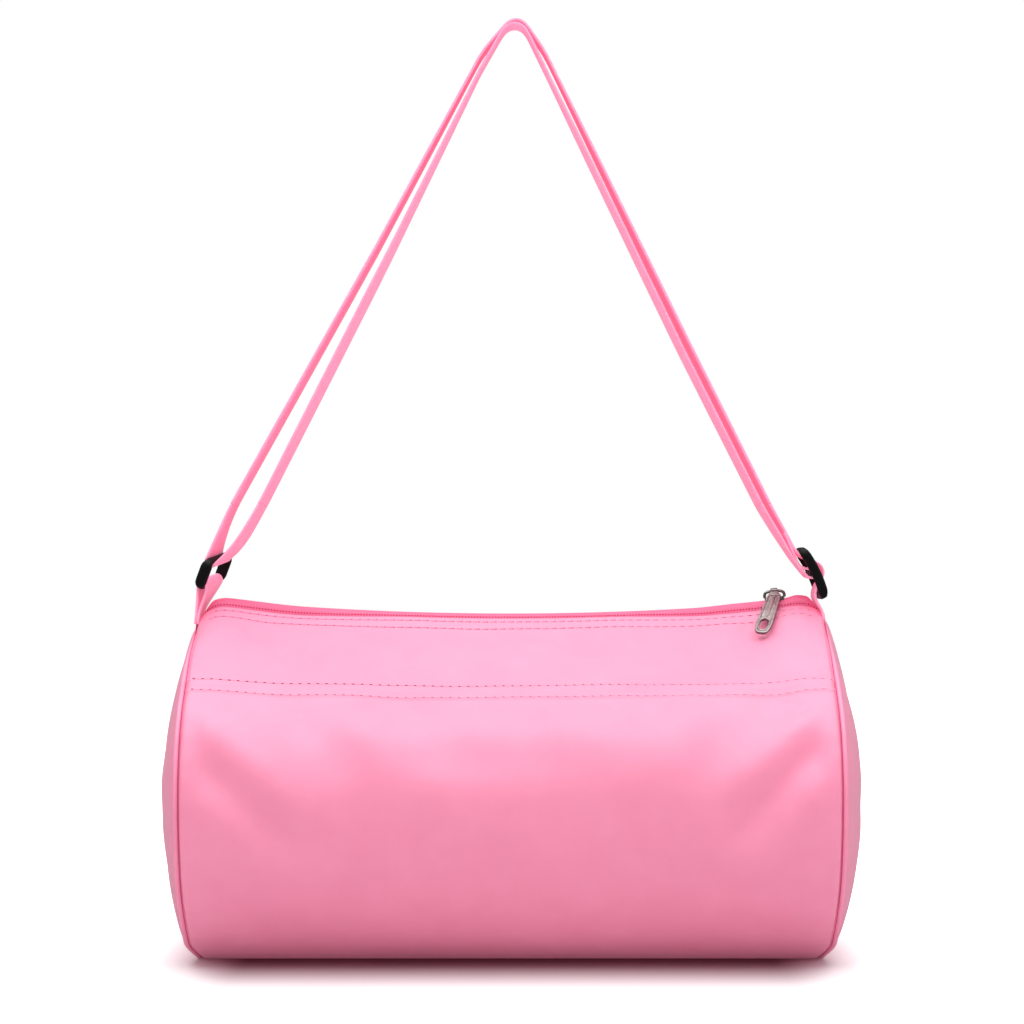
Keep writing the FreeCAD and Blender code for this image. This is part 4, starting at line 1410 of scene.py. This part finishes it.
def split_line(corners, radii):
    """Strap line cut where it passes the split height going up and coming down."""
    line = eased(route(corners, radii), 4)
    above = np.where(line[:, 1] > SPLIT)[0]
    first, last = above[0], above[-1]
    return line[: first + 1], line[first: last + 1], line[last:]


def in_plane(line):
    return xyz(line[:, 0], 0.0, line[:, 1])


def twisted_across(line, run):
    """Width direction along a strap line: its far edge turns a little towards the middle."""
    acrosses = []
    for (x, z), (run_x, run_z) in zip(line, np.gradient(line, axis=0)):
        side = -1 if x < PEAK_X else 1
        angle = math.radians(np.interp(z, TWIST_HEIGHTS, TWIST_DEGREES[run, side]))
        flat = np.array([run_z, 0.0, -run_x]) / math.hypot(run_x, run_z)
        inwards = -side if run_z > 0 else side
        acrosses.append(Y_AXIS * math.cos(angle) + inwards * flat * math.sin(angle))
    return acrosses


outer_corners = OUTER_CORNERS + [on_glide(*place) for place in OUTER_GLIDE] + OUTER_SEAM
inner_corners = INNER_CORNERS + [on_glide(*place) for place in INNER_GLIDE]
left_outer, long_outer, right_outer = split_line(outer_corners, OUTER_RADII)
left_inner, long_inner, right_inner = split_line(inner_corners, INNER_RADII)
for run, line in (("outer", long_outer), ("inner", long_inner)):
    centres = in_plane(line)
    piece = ribbon(f"strap_{run}_webbing", centres, twisted_across(line, run))
    bend_strap(piece, f"strap_{run}_run", rising(287.0, 42.0))
    print(piece.name, f"{np.linalg.norm(np.diff(centres, axis=0), axis=1).sum():.0f} mm")

# %% Strap through the ring, and the tab


def leg(start, leave, far, arrive, far_across, count=20):
    """Webbing from a ring bar to a far point along a smooth curve, its width turning on the way."""
    share = np.linspace(0, 1, count)[:, None]
    length = np.linalg.norm(far - start)
    start_pull = share * (1 - share) ** 2 * length
    end_pull = -(share**2) * (1 - share) * length
    blend = share**2 * (3 - 2 * share)
    turn = 1 - (1 - share) ** 2.2
    centres = start * (1 - blend) + far * blend + leave * start_pull + arrive * end_pull
    return centres, ring_across * (1 - turn) + far_across * turn


def looped(name, bar, over, fars, far_acrosses, arrivals, spread, first=None, last=None):
    """Webbing round a ring bar, with an inner and an outer leg away from it."""
    reach = ring_out * BAR_TURN
    leaving = spread * ring_out - over
    inner_leg, inner_across = leg(bar + reach, leaving, fars[0], arrivals[0], far_acrosses[0])
    outer_leg, outer_across = leg(bar - reach, -over, fars[1], arrivals[1], far_acrosses[1])
    angles = np.linspace(0, math.pi, 15)[1:-1]
    half_turn = [bar + reach * math.cos(turn) + over * BAR_TURN * math.sin(turn) for turn in angles]
    centres = np.concatenate([inner_leg[::-1], half_turn, outer_leg])
    acrosses = np.concatenate([inner_across[::-1], [ring_across] * len(angles), outer_across])
    return ribbon(name, eased(centres, 1), acrosses, first, last)


upper_bar = ring_centre + ring_up * RING_HALF
lower_bar = ring_centre - ring_up * RING_HALF
feet = [in_plane(line)[-1] for line in (left_inner, left_outer)]
foot_acrosses = [twisted_across(long_inner, "inner")[0], twisted_across(long_outer, "outer")[0]]
climbs = [unit(np.diff(in_plane(line)[:2], axis=0)[0]) for line in (long_inner, long_outer)]
strap_turn = looped(
    "strap_ring_turn_webbing", upper_bar, -ring_up, feet, foot_acrosses, climbs, 0.55, -climbs[0], climbs[1]
)
bend_strap(strap_turn, "strap_ring_turn", rising(283.0, -24.0))
tab_feet = [np.array([-199.0, 0.0, 209.5]), np.array([-200.8, 0.0, 209.5])]
tab_arrivals = [np.array([0.1, 0.0, -1.0]), np.array([-0.1, 0.0, -1.0])]
tab = looped("tab_webbing", lower_bar, ring_up, tab_feet, [Y_AXIS, Y_AXIS], tab_arrivals, 0.0)
bend_strap(tab, "left_tab", rising(221.0, 11.0))

# %% Strap at the adjuster


def at_adjuster(heights):
    return rising(283.0, -20.0)(heights) * rising(221.0, 7.0)(heights)


for name, run, line, above, node in (
    ("anchor_webbing", "outer", right_outer, long_outer, "right_anchor_webbing"),
    ("sewn_end_webbing", "inner", right_inner, long_inner, "strap_sewn_end"),
):
    acrosses = twisted_across(line, run)
    acrosses[0] = twisted_across(above, run)[-1]
    piece = ribbon(name, in_plane(line), acrosses, unit(np.diff(in_plane(above)[-2:], axis=0)[0]))
    bend_strap(piece, node, at_adjuster)
